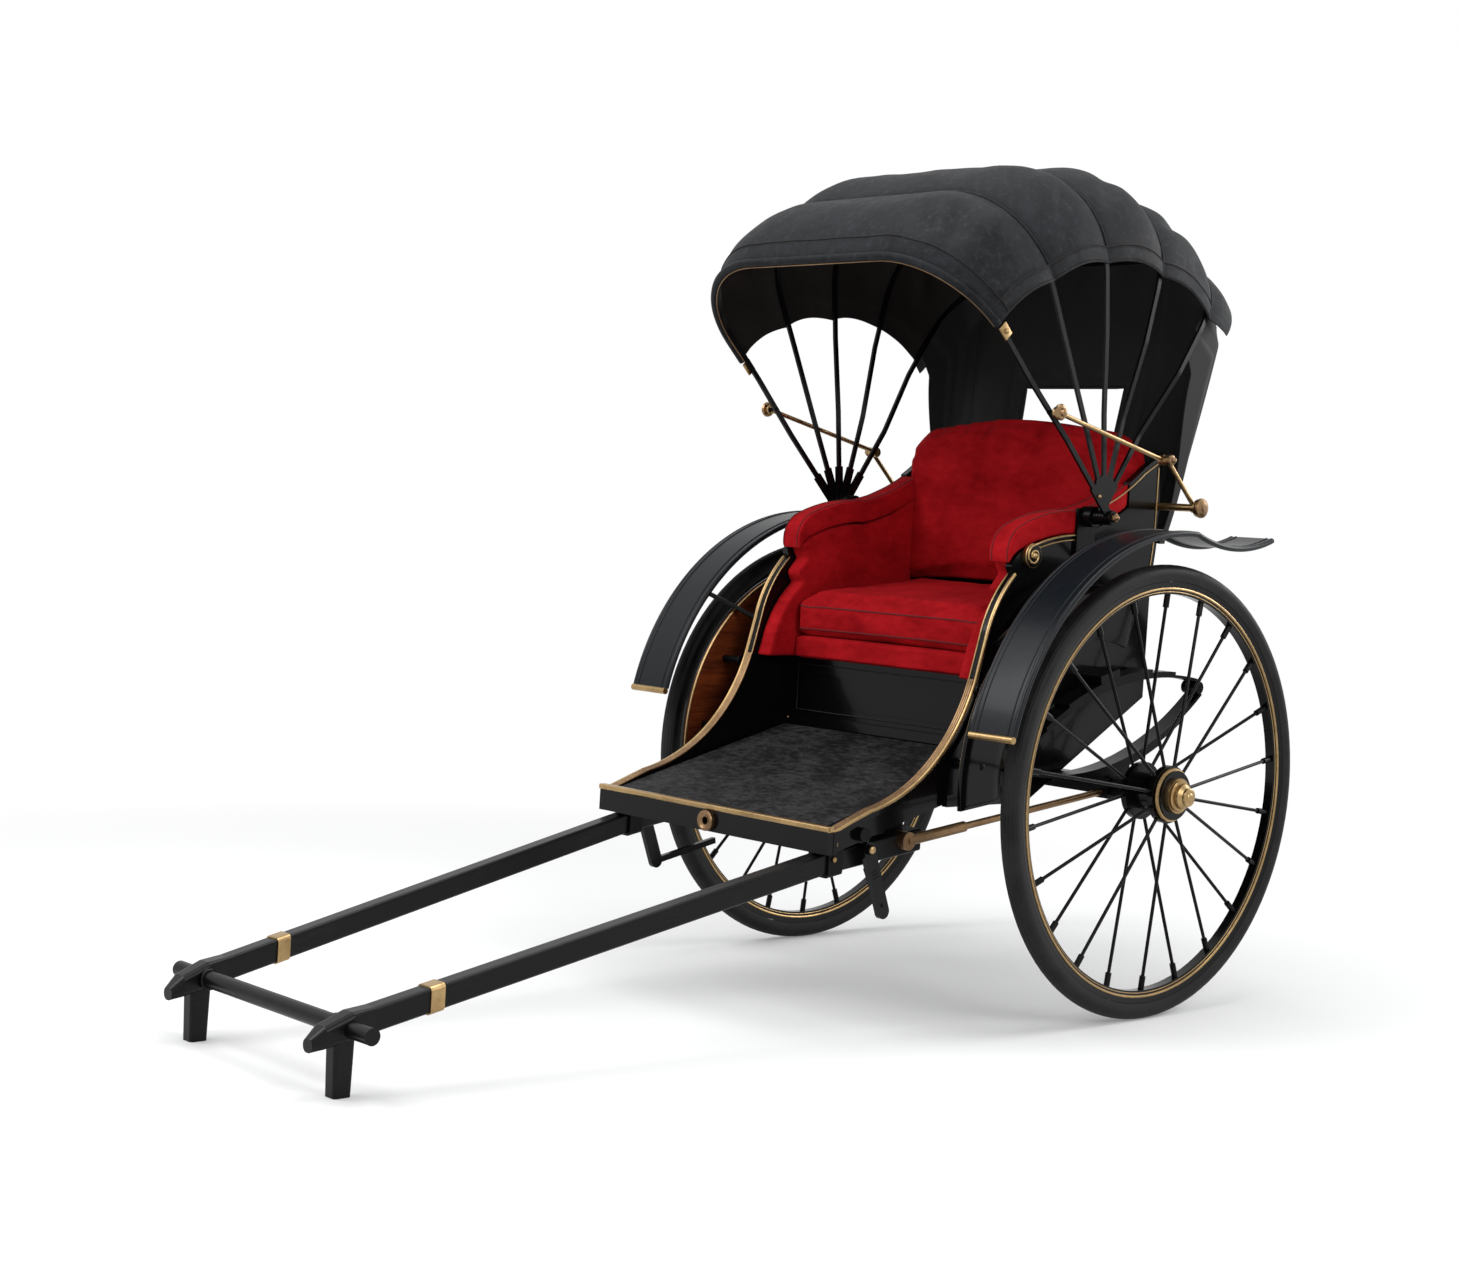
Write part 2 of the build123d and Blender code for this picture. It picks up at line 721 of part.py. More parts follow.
leg_at = Pos(cross_bar[0] + leg_forward, shaft_y(cross_bar[0] + leg_forward))
leg = loft([
    Plane.XY.offset(ground) * leg_at * RectangleRounded(leg_depth_foot, leg_width, leg_corner),
    Plane.XY.offset(cross_bar[1]) * leg_at * RectangleRounded(leg_depth_top, leg_width, leg_corner),
], ruled=True)
leg = leg - tip_whole - bar_hole
keep("legs", *both(leg.solids().sort_by(Axis.Z)[0]))

band_x = shaft_front_x - band_back
band = sleeve((band_x - band_length, band_x), 2 * band_thickness, shaft_corner + band_thickness) - shaft
keep("shaft_bands", *both(band))

under_face = make_face(Polyline(
    (shaft_rear_x - body_half_width, ground),
    (tip_end_x, ground),
    (tip_end_x, floor_line(tip_end_x)),
    (shaft_rear_x - body_half_width, floor_line(shaft_rear_x - body_half_width)),
    close=True))
under_floor = slab(under_face, 0, far_out)
strap_x = shaft_clamp_x - clamp_strap_back
clamp = sleeve((strap_x, strap_x + clamp_strap_length), 2 * clamp_strap, shaft_corner) - shaft
pack_x = shaft_rear_x + packing_inset
pack_y = shaft_y(pack_x)
packing = block(pack_x, pack_x + packing_length, sill_in, min(sill_out, pack_y + shaft_width / 2),
                shaft_z(pack_x), floor_line(pack_x)) - shaft
packing = (packing & under_floor).solids().sort_by(Axis.Z)[-1]
keep("shaft_clamps", *both(biggest(clamp & under_floor)), *both(packing))

rod_y = shaft_y(rod_front[0]) + shaft_width / 2
rod_start = (rod_front[0], rod_y + rod_eye_width / 2, rod_front[1])
rod_end = (half_beam, spring_y, rod_rear_z)
rod_run = Vector(*rod_end) - Vector(*rod_start)
sleeve_end = tuple(Vector(*rod_start) + rod_run * rod_sleeve_share)
radius_rod = rod(rod_start, rod_end, rod_radius) + rod(rod_start, sleeve_end, rod_sleeve_radius)
radius_rod = radius_rod + pin_y(rod_front, rod_y - shaft_width / 2, rod_y + rod_eye_width, rod_eye_radius)
radius_rod = radius_rod - shaft - strap - axle
keep("radius_rods", *both(biggest(radius_rod)))

# prop legs, hung on pins through the shafts
shaft_face_y = shaft_y(prop_pivot[0]) + shaft_width / 2
prop_in = shaft_y(prop_pivot[0] - prop_length) + shaft_width / 2 + prop_gap
prop_out = prop_in + prop_thickness
prop_reach = prop_length - prop_width
prop_face = Pos(prop_reach / 2, 0) * SlotCenterToCenter(prop_reach, prop_width)
prop_face = Pos(*prop_pivot) * Rot(0, 0, -90 - prop_lean) * prop_face
prop_hole = pin_y(prop_pivot, 0, far_out, prop_pin_radius + running_clearance)
prop = slab(prop_face, prop_in, prop_out) - prop_hole
keep("prop_left", prop)
foot = polar(prop_pivot, prop_reach, -90 - prop_lean)
brace_face = Rot(0, 0, 180 - brace_rise) * Pos(brace_length / 2, 0) * Rectangle(brace_length, brace_width)
brace = slab(Pos(*foot) * brace_face, prop_in, prop_out)
keep("prop_right", mirror(prop + brace, about=Plane.XZ))
pin_end = prop_out + prop_gap / 2 + prop_pin_head_length
prop_pin = pin_y(prop_pivot, shaft_face_y - shaft_width / 2, pin_end, prop_pin_radius)
prop_pin = prop_pin + pin_y(prop_pivot, pin_end - prop_pin_head_length, pin_end, prop_pin_head)
prop_pin = prop_pin + pin_y(prop_pivot, shaft_face_y - shaft_width / 2, prop_in - prop_gap / 2, prop_pin_head)
prop_boss = (prop_boss_x, floor_line(prop_boss_x, prop_boss_rise))
boss = pin_y(prop_boss, body_half_width, body_half_width + prop_boss_length, prop_boss_radius)
keep("prop_pins", *both(biggest(prop_pin - shaft)), *both(boss))

# hood bows, drawn upright over the pivot and swung to their angles
bow_step = bow_thickness + bow_play
bow_count = len(bow_angles)
bow_first_y = body_half_width + bow_stack_gap + bow_thickness / 2
bow_stack_y = [bow_first_y + (bow_count - 1 - i) * bow_step for i in range(bow_count)]
bow_half = bow_stack_y[0] - bow_inset
bow_jog_high = bow_height - bow_corner - bow_straight
stay_upper_y = bow_stack_y[0] + bow_thickness / 2 + stay_gap + stay_rod_radius
stay_lower_y = stay_upper_y + 2 * stay_rod_radius + stay_play
stay_pin_y = stay_upper_y + stay_rod_radius + stay_pin_end


def swing(solid, degrees):
    return Pos(hood_pivot[0], 0, hood_pivot[1]) * Rot(0, 90 - degrees, 0) * solid


for i, degrees in enumerate(bow_angles):
    y = bow_stack_y[i]
    path = FilletPolyline(
        (0, y, 0),
        (0, y, bow_jog_low),
        (0, bow_half, bow_jog_high),
        (0, bow_half, bow_height),
        (0, -bow_half, bow_height),
        (0, -bow_half, bow_jog_high),
        (0, -y, bow_jog_low),
        (0, -y, 0),
        radius=[bow_jog_bend, bow_jog_bend, bow_corner, bow_corner, bow_jog_bend, bow_jog_bend])
    bow = sweep(Plane.XY * Pos(0, y) * Rectangle(bow_width, bow_thickness), path)
    half = bow_thickness / 2
    for side in (1, -1):
        bow = bow + rod((0, side * y - half, 0), (0, side * y + half, 0), bow_eye_radius)
        bow = bow + Pos(0, side * y, bow_lug_length / 2) * Box(bow_lug_width, bow_thickness, bow_lug_length)
        bow = bow - rod((0, side * y - half, 0), (0, side * y + half, 0), pivot_pin_radius + running_clearance)
        if i == 0:
            pin_start = (0, side * bow_half, stay_top_r)
            bow = bow + rod(pin_start, (0, side * stay_pin_y, stay_top_r), stay_pin_radius)
    keep("bow_%d" % (i + 1), swing(bow, degrees))

# cover panels between the bows, and the rear curtain
cover_in_y = bow_half + bow_thickness / 2 + cover_gap
cover_in_r = bow_height + bow_thickness / 2 + cover_gap
cover_corner = bow_corner + bow_thickness / 2 + cover_gap


def hood_outline(grow):
    face = Pos(0, (cover_in_r + grow) / 2) * Rectangle(2 * (cover_in_y + grow), cover_in_r + grow)
    return fillet(face.vertices().group_by(Axis.Y)[-1], cover_corner + grow)


cover_face = hood_outline(cover_thickness) - hood_outline(0.0)
cover_face = cover_face - Pos(0, cover_hem / 2) * Rectangle(3 * bow_half, cover_hem)
for i in range(bow_count - 1):
    arc = bow_angles[i + 1] - bow_angles[i] - 2 * cover_seam_angle
    panel = revolve(Plane.YZ * cover_face, Axis.Y, arc)
    forward = panel.bounding_box().center().X > 0
    start = bow_angles[i + 1] - cover_seam_angle if forward else bow_angles[i] + cover_seam_angle
    keep("hood_panel_%d" % (i + 1), swing(panel, start))

curtain_angle = bow_angles[-1] + math.degrees((bow_width / 2 + cover_gap) / bow_height)
curtain_top = polar(hood_pivot, bow_height, curtain_angle)
curtain_mid = ((curtain_top[0] + curtain_foot[0]) / 2 - curtain_bulge, (curtain_top[1] + curtain_foot[1]) / 2)


def back_by(point):
    return (point[0] - cover_thickness, point[1])


curtain_face = make_face(Curve() + [
    ThreePointArc(curtain_top, curtain_mid, curtain_foot),
    Line(curtain_foot, back_by(curtain_foot)),
    ThreePointArc(back_by(curtain_foot), back_by(curtain_mid), back_by(curtain_top)),
    Line(back_by(curtain_top), curtain_top),
])
drop = curtain_top[1] - curtain_foot[1]
shoulder_z = curtain_top[1] - curtain_shoulder * drop
flat_half = bow_half - bow_corner / 2
curtain_foot_half = body_half_width + curtain_foot_gap
curtain_shape = make_face(Polyline(
    (-curtain_foot_half, curtain_foot[1]),
    (curtain_foot_half, curtain_foot[1]),
    (bow_half, shoulder_z),
    (flat_half, curtain_top[1]),
    (-flat_half, curtain_top[1]),
    (-bow_half, shoulder_z),
    close=True))
curtain_span = extrude(Plane.YZ.offset(-far_out) * curtain_shape, amount=2 * far_out, dir=(1, 0, 0))
curtain = slab(curtain_face, -far_out, far_out) & curtain_span


def behind_bow(z):
    reach = (z - hood_pivot[1]) / math.tan(math.radians(bow_angles[-1]))
    return hood_pivot[0] + reach - (bow_width / 2 + cover_gap) / math.sin(math.radians(bow_angles[-1]))


rise = shoulder_z - curtain_foot[1]
lean = math.atan2(bow_half - curtain_foot_half, rise)
wing_low_z = hood_pivot[1] + wing_low_r * math.sin(math.radians(bow_angles[-1]))
wing_back = curtain_foot[0] - cover_thickness / 2
wing_points = [
    (wing_back + (curtain_top[0] - curtain_foot[0]) * rise / drop - curtain_bulge, shoulder_z),
    (behind_bow(shoulder_z), shoulder_z),
    (behind_bow(wing_low_z), wing_low_z),
    wing_mid,
    (stay_foot[0] - wing_knob_room, stay_foot[1]),
    (stay_foot[0] - wing_knob_room, curtain_foot[1]),
    (wing_back, curtain_foot[1]),
]
wing_points = [(x, (z - curtain_foot[1]) / math.cos(lean)) for x, z in wing_points]
wing_face = make_face(Polyline(*wing_points, close=True))
wing_plane = Plane(origin=(0, curtain_foot_half, curtain_foot[1]), x_dir=(1, 0, 0),
                   z_dir=(0, -math.cos(lean), math.sin(lean)))
wing = extrude(wing_plane * wing_face, amount=cover_thickness)
keep("hood_curtain", curtain + wing + mirror(wing, about=Plane.XZ))

boss_end = bow_stack_y[-1] - bow_thickness / 2 - bow_play
pivot_end = bow_stack_y[0] + bow_thickness / 2 + bow_play + pivot_head_length
pivot = block(hood_pivot[0] - pivot_plate_width / 2, hood_pivot[0] + pivot_plate_width / 2,
              body_half_width, body_half_width + pivot_plate_thickness,
              hood_pivot[1] - pivot_plate_drop, hood_pivot[1] + pivot_plate_rise)
pivot = pivot + pin_y(hood_pivot, body_half_width, boss_end, pivot_boss_radius)
pivot = pivot + pin_y(hood_pivot, body_half_width, pivot_end, pivot_pin_radius)
pivot = pivot + pin_y(hood_pivot, pivot_end - pivot_head_length, pivot_end, pivot_head_radius)
keep("hood_pivots", *both(biggest(pivot - splash)))

# hood stays: two jointed rods on each side, and the knob that holds the lower end
stay_top = polar(hood_pivot, stay_top_r, bow_angles[0])


def stay_rod(a, b, y, bored):
    bar = rod((a[0], y, a[1]), (b[0], y, b[1]), stay_rod_radius)
    for point in (a, b):
        bar = bar + pin_y(point, y - stay_rod_radius, y + stay_rod_radius, stay_eye_radius)
    for point in bored:
        bar = bar - pin_y(point, 0, far_out, stay_pin_radius + running_clearance)
    return bar


upper_rod = stay_rod(stay_top, stay_elbow, stay_upper_y, [stay_top])
elbow_end = stay_lower_y + stay_rod_radius + stay_pin_end
keep("stay_upper", *both(upper_rod + pin_y(stay_elbow, stay_upper_y, elbow_end, stay_pin_radius)))
keep("stay_lower", *both(stay_rod(stay_elbow, stay_foot, stay_lower_y, [stay_elbow, stay_foot])))
knob_in = stay_lower_y - stay_rod_radius - stay_play
knob_out = stay_lower_y + stay_rod_radius + stay_play
knob = pin_y(stay_foot, body_half_width, knob_in, knob_arm_radius)
knob = knob + pin_y(stay_foot, body_half_width, knob_out, stay_pin_radius - knob_gap)
knob = knob + pin_y(stay_foot, knob_out, knob_out + knob_length, knob_radius)
keep("stay_knobs", *both(knob))

os.makedirs("parts", exist_ok=True)
for name, shape in nodes.items():
    export_step(shape, "parts/%s.step" % name)
print(len(nodes), "nodes")
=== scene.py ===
import bpy
import math
from mathutils import Vector, Matrix, noise
from mathutils.bvhtree import BVHTree


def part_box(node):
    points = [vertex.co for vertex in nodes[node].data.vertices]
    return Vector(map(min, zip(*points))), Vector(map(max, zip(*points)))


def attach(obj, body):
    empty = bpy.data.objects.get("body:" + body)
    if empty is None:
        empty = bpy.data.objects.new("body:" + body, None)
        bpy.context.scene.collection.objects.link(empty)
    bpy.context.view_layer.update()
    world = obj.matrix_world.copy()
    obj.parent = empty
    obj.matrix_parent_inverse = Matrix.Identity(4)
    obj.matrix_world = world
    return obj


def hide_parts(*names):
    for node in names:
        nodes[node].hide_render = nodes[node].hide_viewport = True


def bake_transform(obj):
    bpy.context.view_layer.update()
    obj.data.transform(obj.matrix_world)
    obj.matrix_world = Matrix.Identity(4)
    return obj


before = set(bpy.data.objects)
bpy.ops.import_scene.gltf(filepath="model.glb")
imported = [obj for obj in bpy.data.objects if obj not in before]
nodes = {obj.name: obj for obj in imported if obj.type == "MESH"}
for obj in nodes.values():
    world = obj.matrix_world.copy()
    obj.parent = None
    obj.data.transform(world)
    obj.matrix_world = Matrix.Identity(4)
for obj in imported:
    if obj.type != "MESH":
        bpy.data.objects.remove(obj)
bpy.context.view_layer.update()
axleX, axleZ = -0.760, 0.520  # the axle in the row frame, metres
flanks = (("left", 1), ("right", -1))


# shader values that take part in Python sums
class Wire:
    def __init__(self, tree, socket):
        self.tree = tree
        self.socket = socket

    def join(self, operation, first, second=0.0):
        node = self.tree.nodes.new("ShaderNodeMath")
        node.operation = operation
        for slot, value in zip(node.inputs, (first, second)):
            if isinstance(value, Wire):
                self.tree.links.new(value.socket, slot)
            else:
                slot.default_value = value
        return Wire(self.tree, node.outputs[0])

    def __add__(self, other):
        return self.join("ADD", self, other)

    def __sub__(self, other):
        return self.join("SUBTRACT", self, other)

    def __rsub__(self, other):
        return self.join("SUBTRACT", other, self)

    def __mul__(self, other):
        return self.join("MULTIPLY", self, other)

    __radd__, __rmul__ = __add__, __mul__


# a shader tree, with one way to add a node to it
class Patch:
    def __init__(self, tree):
        self.tree = tree

    def node(self, kind, sockets=None, out=0, **settings):
        made = self.tree.nodes.new("ShaderNode" + kind)
        for key, value in settings.items():
            setattr(made, key, value)
        for key, value in (sockets or {}).items():
            if isinstance(value, Wire):
                self.tree.links.new(value.socket, made.inputs[key])
            else:
                made.inputs[key].default_value = value
        return Wire(self.tree, made.outputs[out])

    def places(self, stretch=(1, 1, 1), out=3):
        # output 3 gives Object coordinates, output 2 the UV map
        return self.node("Mapping", {"Vector": self.node("TexCoord", out=out), "Scale": stretch})

    def grainy(self, scale, detail=4.0, rough=0.55, stretch=(1, 1, 1)):
        return self.node("TexNoise", {"Vector": self.places(stretch), "Scale": scale, "Detail": detail,
                                      "Roughness": rough})

    def between(self, value, low, high):
        return self.node("MapRange", {"Value": value, "From Min": low, "From Max": high})

    def tint(self, factor, dark, pale):
        dark, pale = (colour if isinstance(colour, Wire) else (*colour, 1.0) for colour in (dark, pale))
        return self.node("Mix", {0: factor, 6: dark, 7: pale}, out=2, data_type="RGBA")

    def seen(self):
        # rays that show the backdrop itself: camera, glossy and transmission
        return self.node("LightPath", out=0) + self.node("LightPath", out=3) + self.node("LightPath", out=6)

    def show(self, surface, output):
        self.tree.links.new(surface.socket, self.tree.nodes[output].inputs["Surface"])


class Finish(Patch):
    def __init__(self, name, **fixed):
        self.material = bpy.data.materials.new(name)
        self.material.use_nodes = True
        super().__init__(self.material.node_tree)
        self.shader = self.tree.nodes["Principled BSDF"]
        for key, value in fixed.items():
            self.shader.inputs[key.replace("_", " ")].default_value = value

    def wear(self, tone, dark, pale, rough, height, strength, distance):
        # two colours mixed by tone, the roughness, and relief from a height
        bump = self.node("Bump", {"Height": height, "Strength": strength, "Distance": distance})
        for key, value in (("Base Color", self.tint(tone, dark, pale)), ("Roughness", rough), ("Normal", bump)):
            self.tree.links.new(value.socket, self.shader.inputs[key])
        return self.material


def glossLacquer():
    coat = Finish("glossLacquer", Coat_Weight=0.10, Coat_Roughness=0.05, Specular_IOR_Level=0.12)
    cloud, peel = coat.grainy(4.0, 3.0), coat.grainy(230.0, 1.0)
    scuff = coat.between(coat.grainy(60.0, 7.0, 0.7), 0.60, 0.76)
    return coat.wear(scuff, (0.0020, 0.0020, 0.0023), (0.0052, 0.0049, 0.0048),
                     0.12 + 0.10 * cloud + 0.10 * scuff, peel, 0.03, 0.0005)


def fenderPaintAndSkyReflection():
    paint = Finish("fenderPaintAndSkyReflection", Coat_Weight=0.08, Coat_Roughness=0.12, Specular_IOR_Level=0.14)
    cloud, fine = paint.grainy(6.0, 4.0), paint.grainy(150.0, 2.0)
    scuff = paint.between(paint.grainy(40.0, 7.0, 0.7), 0.58, 0.74)
    # black paint with scuffs; the bluish-grey lift of both base colours is a painted sky reflection
    return paint.wear(scuff, (0.0052, 0.0066, 0.0088), (0.0120, 0.0135, 0.0160),
                      0.26 + 0.16 * cloud + 0.08 * scuff, fine, 0.04, 0.0005)


def satinBlack():
    paint = Finish("satinBlack", Specular_IOR_Level=0.11)
    cloud, pits = paint.grainy(9.0, 4.0), paint.grainy(160.0, 3.0)
    chips = paint.between(paint.grainy(34.0, 8.0, 0.72), 0.64, 0.72)
    return paint.wear(chips, (0.0024, 0.0024, 0.0027), (0.0095, 0.0088, 0.0082),
                      0.24 + 0.14 * cloud + 0.10 * chips, pits, 0.07, 0.0005)


def shaftBlack():
    paint = Finish("shaftBlack", Coat_Weight=0.05, Coat_Roughness=0.18, Specular_IOR_Level=0.14)
    grain = paint.grainy(22.0, 6.0, 0.6, (1.0, 14.0, 14.0))
    rub = paint.between(grain * paint.grainy(7.0, 3.0), 0.30, 0.42)
    return paint.wear(rub, (0.0030, 0.0031, 0.0034), (0.0085, 0.0081, 0.0078),
                      0.24 + 0.16 * grain, grain, 0.09, 0.0010)


def brightBrass(name, pale, deep, rough):
    brass = Finish(name, Metallic=1.0)
    cloud, brushed = brass.grainy(14.0, 5.0, 0.6), brass.grainy(240.0, 2.0)
    spots = brass.between(brass.grainy(70.0, 6.0, 0.7), 0.52, 0.72)
    tarnish = brass.between(cloud + 0.25 * spots, 0.40, 0.95)
    return brass.wear(tarnish, pale, deep, rough + 0.20 * tarnish + 0.06 * brushed, brushed, 0.05, 0.0004)


def tyreRubber():
    rubber = Finish("tyreRubber", Specular_IOR_Level=0.14)
    dust = rubber.between(rubber.grainy(12.0, 6.0, 0.65), 0.42, 0.75)
    return rubber.wear(dust, (0.0070, 0.0070, 0.0074), (0.0200, 0.0193, 0.0186),
                       0.48 + 0.22 * dust, rubber.grainy(320.0, 2.0), 0.12, 0.0006)


def redVelvet():
    velvet = Finish("redVelvet", Sheen_Weight=0.07, Sheen_Roughness=0.45, Sheen_Tint=(1.0, 0.10, 0.12, 1.0),
                    Specular_IOR_Level=0.05)
    nap = velvet.grainy(7.0, 5.0, 0.6, (1.0, 1.0, 1.6))
    streak = velvet.grainy(46.0, 4.0, 0.65, (1.0, 0.55, 1.4))
    pile = velvet.grainy(520.0, 2.0)
    shade = velvet.between(0.62 * nap + 0.38 * streak, 0.34, 0.66)
    return velvet.wear(shade, (0.215, 0.0026, 0.0048), (0.425, 0.0080, 0.0120),
                       0.72 + 0.20 * (1 - shade), 0.6 * pile + 0.4 * streak, 0.22, 0.0012)


def seamRed():
    cord = Finish("seamRed", Sheen_Weight=0.1, Specular_IOR_Level=0.2)
    twist = cord.grainy(420.0, 2.0)
    return cord.wear(twist, (0.070, 0.0028, 0.0042), (0.150, 0.0050, 0.0075), 0.70 + 0.15 * twist, twist, 0.3, 0.0008)


def hoodCanvas():
    cloth = Finish("hoodCanvas", Specular_IOR_Level=0.10)
    mottle, paintedCreaseShade = cloth.grainy(7.0, 8.0, 0.70), cloth.grainy(30.0, 6.0, 0.62)
    rubbed = cloth.between(cloth.grainy(58.0, 8.0, 0.74), 0.52, 0.70)
    # dust mixes real mottle with painted crease shade: the crease noise darkens and lightens the canvas in place of
    # light and shade on creases
    dust = cloth.between(0.6 * mottle + 0.4 * paintedCreaseShade, 0.40, 0.62)
    flat = cloth.places(out=2)
    across, along = (cloth.node("SeparateXYZ", {"Vector": flat}, out=axis) for axis in (0, 1))
    fromHem = across.join("MINIMUM", across, 1 - across)
    fromBow = along.join("MINIMUM", along, 1 - along)
    # stitch rows along the hem band and on both sides of each bow
    stitches = 0.0
    for place, start, width in ((fromHem, 0.0258, 0.0011), (fromHem, 0.0045, 0.0010), (fromBow, 0.034, 0.0050)):
        stitches = stitches + cloth.between(place.join("ABSOLUTE", place - start), width, 0.0)
    weave, warp = (cloth.node("TexWave", {"Vector": flat, "Scale": scale, "Distortion": 0.6}, wave_type="BANDS",
                              bands_direction=way) for way, scale in (("X", 210.0), ("Y", 60.0)))
    wrinkle = cloth.grainy(13.0, 6.0, 0.64)
    # base colour: dust with painted crease shade, then lighter rubbed wear and dark stitches
    wornAndCreaseShaded = cloth.tint(dust, (0.0034, 0.0037, 0.0045), (0.0190, 0.0202, 0.0232))
    wornAndCreaseShaded = cloth.tint(rubbed * 0.60, wornAndCreaseShaded, (0.040, 0.042, 0.047))
    return cloth.wear(stitches * 0.75, wornAndCreaseShaded, (0.0045, 0.0046, 0.0052), 0.46 + 0.26 * dust,
                      0.75 * wrinkle + 0.10 * weave * warp - 0.22 * stitches, 0.55, 0.0050)


def hoodLining():
    cloth = Finish("hoodLining", Specular_IOR_Level=0.2)
    mottle = cloth.grainy(8.0, 6.0, 0.65)
    return cloth.wear(mottle, (0.0060, 0.0056, 0.0052), (0.024, 0.021, 0.019),
                      0.70 + 0.15 * mottle, cloth.grainy(20.0, 4.0, 0.6), 0.4, 0.004)


def curtainCloth():
    cloth = Finish("curtainCloth", Sheen_Weight=0.05, Specular_IOR_Level=0.25)
    mottle = cloth.grainy(10.0, 6.0, 0.65, (1.0, 1.0, 0.35))
    thread = cloth.grainy(340.0, 2.0)
    return cloth.wear(mottle, (0.0050, 0.0049, 0.0049), (0.0215, 0.0210, 0.0205),
                      0.66 + 0.18 * mottle, 0.7 * mottle + 0.3 * thread, 0.25, 0.002)


def footMat():
    mat = Finish("footMat", Specular_IOR_Level=0.12)
    fleck = mat.grainy(46.0, 8.0, 0.75, (1.7, 0.8, 1.0))
    tone = mat.between(0.72 * fleck + 0.28 * mat.grainy(9.0, 5.0, 0.6), 0.44, 0.64)
    return mat.wear(tone, (0.0030, 0.0030, 0.0034), (0.0420, 0.0420, 0.0440),
                    0.70 + 0.16 * tone, mat.grainy(150.0, 4.0), 0.35, 0.0015)


def splashWood():
    wood = Finish("splashWood", Coat_Weight=0.08, Coat_Roughness=0.2, Specular_IOR_Level=0.15)
    grain = wood.grainy(30.0, 7.0, 0.62, (0.5, 1.0, 6.0))
    broad = wood.grainy(5.0, 4.0, 0.55, (0.6, 1.0, 4.5))
    pore = wood.between(wood.grainy(120.0, 4.0, 0.7, (0.25, 1.0, 5.0)), 0.50, 0.68)
    tone = wood.between(0.6 * grain + 0.4 * broad, 0.36, 0.64)
    plank = wood.tint(tone, (0.042, 0.0062, 0.0016), (0.168, 0.033, 0.0065))
    return wood.wear(pore * 0.6, plank, (0.028, 0.006, 0.003), 0.34 + 0.20 * grain,
                     0.6 * grain + 0.4 * pore, 0.12, 0.0010)


finishes = {
    "lacquer": glossLacquer(), "fender": fenderPaintAndSkyReflection(), "satin": satinBlack(), "shaft": shaftBlack(),
    "brass": brightBrass("agedBrass", (0.41, 0.278, 0.130), (0.18, 0.112, 0.050), 0.26),
    "bronze": brightBrass("darkBronze", (0.27, 0.168, 0.088), (0.095, 0.056, 0.029), 0.30),
    "rubber": tyreRubber(), "velvet": redVelvet(), "seam": seamRed(), "canvas": hoodCanvas(),
    "lining": hoodLining(), "curtain": curtainCloth(), "mat": footMat(), "wood": splashWood(),
}
print("finishes mixed", len(finishes))

# finishes of the CAD pieces that stay
nodeFinish = {
    # the fender finish carries a painted bluish sky reflection in its base colour
    "fender": "fender_left fender_right",
    "lacquer": "rim_left rim_right hub_left hub_right side_panel_left side_panel_right "
               "back_panel seat_box front_board edge_beads prop_left prop_right "
               "splash_board_left splash_board_right",
    "satin": "spokes_left spokes_right fender_stays axle springs spring_clamps shaft_clamps hood_pivots "
             "bow_1 bow_2 bow_3 bow_4 bow_5 prop_pins floor_frame floor_board",
    "shaft": "shaft_left shaft_right shaft_tips legs cross_bar",
    "brass": "hub_cap_left hub_cap_right front_edge fender_lips shaft_bands stay_knobs stay_upper stay_lower",
    "bronze": "radius_rods front_socket",
    "mat": "floor_mat",
}
for finish, names in nodeFinish.items():
    for name in names.split():
        nodes[name].data.materials.clear()
        nodes[name].data.materials.append(finishes[finish])


# small tools of the bench
def clearPick():
    if bpy.context.object and bpy.context.object.mode != "OBJECT":
        bpy.ops.object.mode_set(mode="OBJECT")
    bpy.ops.object.select_all(action="DESELECT")


def pickOnly(*pieces):
    clearPick()
    for piece in pieces:
        piece.select_set(True)
    bpy.context.view_layer.objects.active = pieces[0]


def settle(pieces, name, finish, body="chassis"):
    # joins the pieces, then gives the result its name, finish, slot and body
    pieces = pieces if isinstance(pieces, list) else [pieces]
    pickOnly(*pieces)
    if len(pieces) > 1:
        bpy.ops.object.join()
    piece = bpy.context.object
    bpy.ops.object.transform_apply(location=True, rotation=True, scale=True)
    piece.name = name
    piece.data.name = name
    coats = finish if isinstance(finish, tuple) else (finish,)
    numbers = [face.material_index for face in piece.data.polygons]
    piece.data.materials.clear()
    for coat in coats:
        piece.data.materials.append(finishes[coat])
    if len(coats) > 1:
        piece.data.polygons.foreach_set("material_index", numbers)
    if body:
        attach(piece, body)
    return piece


def press(piece, kind, **settings):
    pickOnly(piece)
    modifier = piece.modifiers.new(kind.lower(), kind)
    for key, value in settings.items():
        setattr(modifier, key, value)
    bpy.ops.object.modifier_apply(modifier=modifier.name)


def smoothBy(piece, degrees):
    pickOnly(piece)
    bpy.ops.object.shade_smooth_by_angle(angle=math.radians(degrees))


def mend(piece, outward=False):
    # doubles merged and, where asked, faces turned outward
    pickOnly(piece)
    bpy.ops.object.mode_set(mode="EDIT")
    bpy.ops.mesh.select_all(action="SELECT")
    bpy.ops.mesh.remove_doubles(threshold=0.00002)
    if outward:
        bpy.ops.mesh.normals_make_consistent(inside=False)
    bpy.ops.object.mode_set(mode="OBJECT")


def tube(points, radius, closed=False, sides=3):
    clearPick()
    bpy.ops.curve.primitive_nurbs_path_add()
    curve = bpy.context.object.data
    curve.splines.clear()
    spline = curve.splines.new("POLY")
    spline.points.add(len(points) - 1)
    for place, point in zip(spline.points, points):
        place.co = (*point, 1.0)
    spline.use_cyclic_u = closed
    curve.dimensions = "3D"
    curve.bevel_depth = radius
    curve.bevel_resolution = sides
    curve.use_fill_caps = not closed
    bpy.ops.object.convert(target="MESH")
    piece = bpy.context.object
    smoothBy(piece, 50)
    return piece


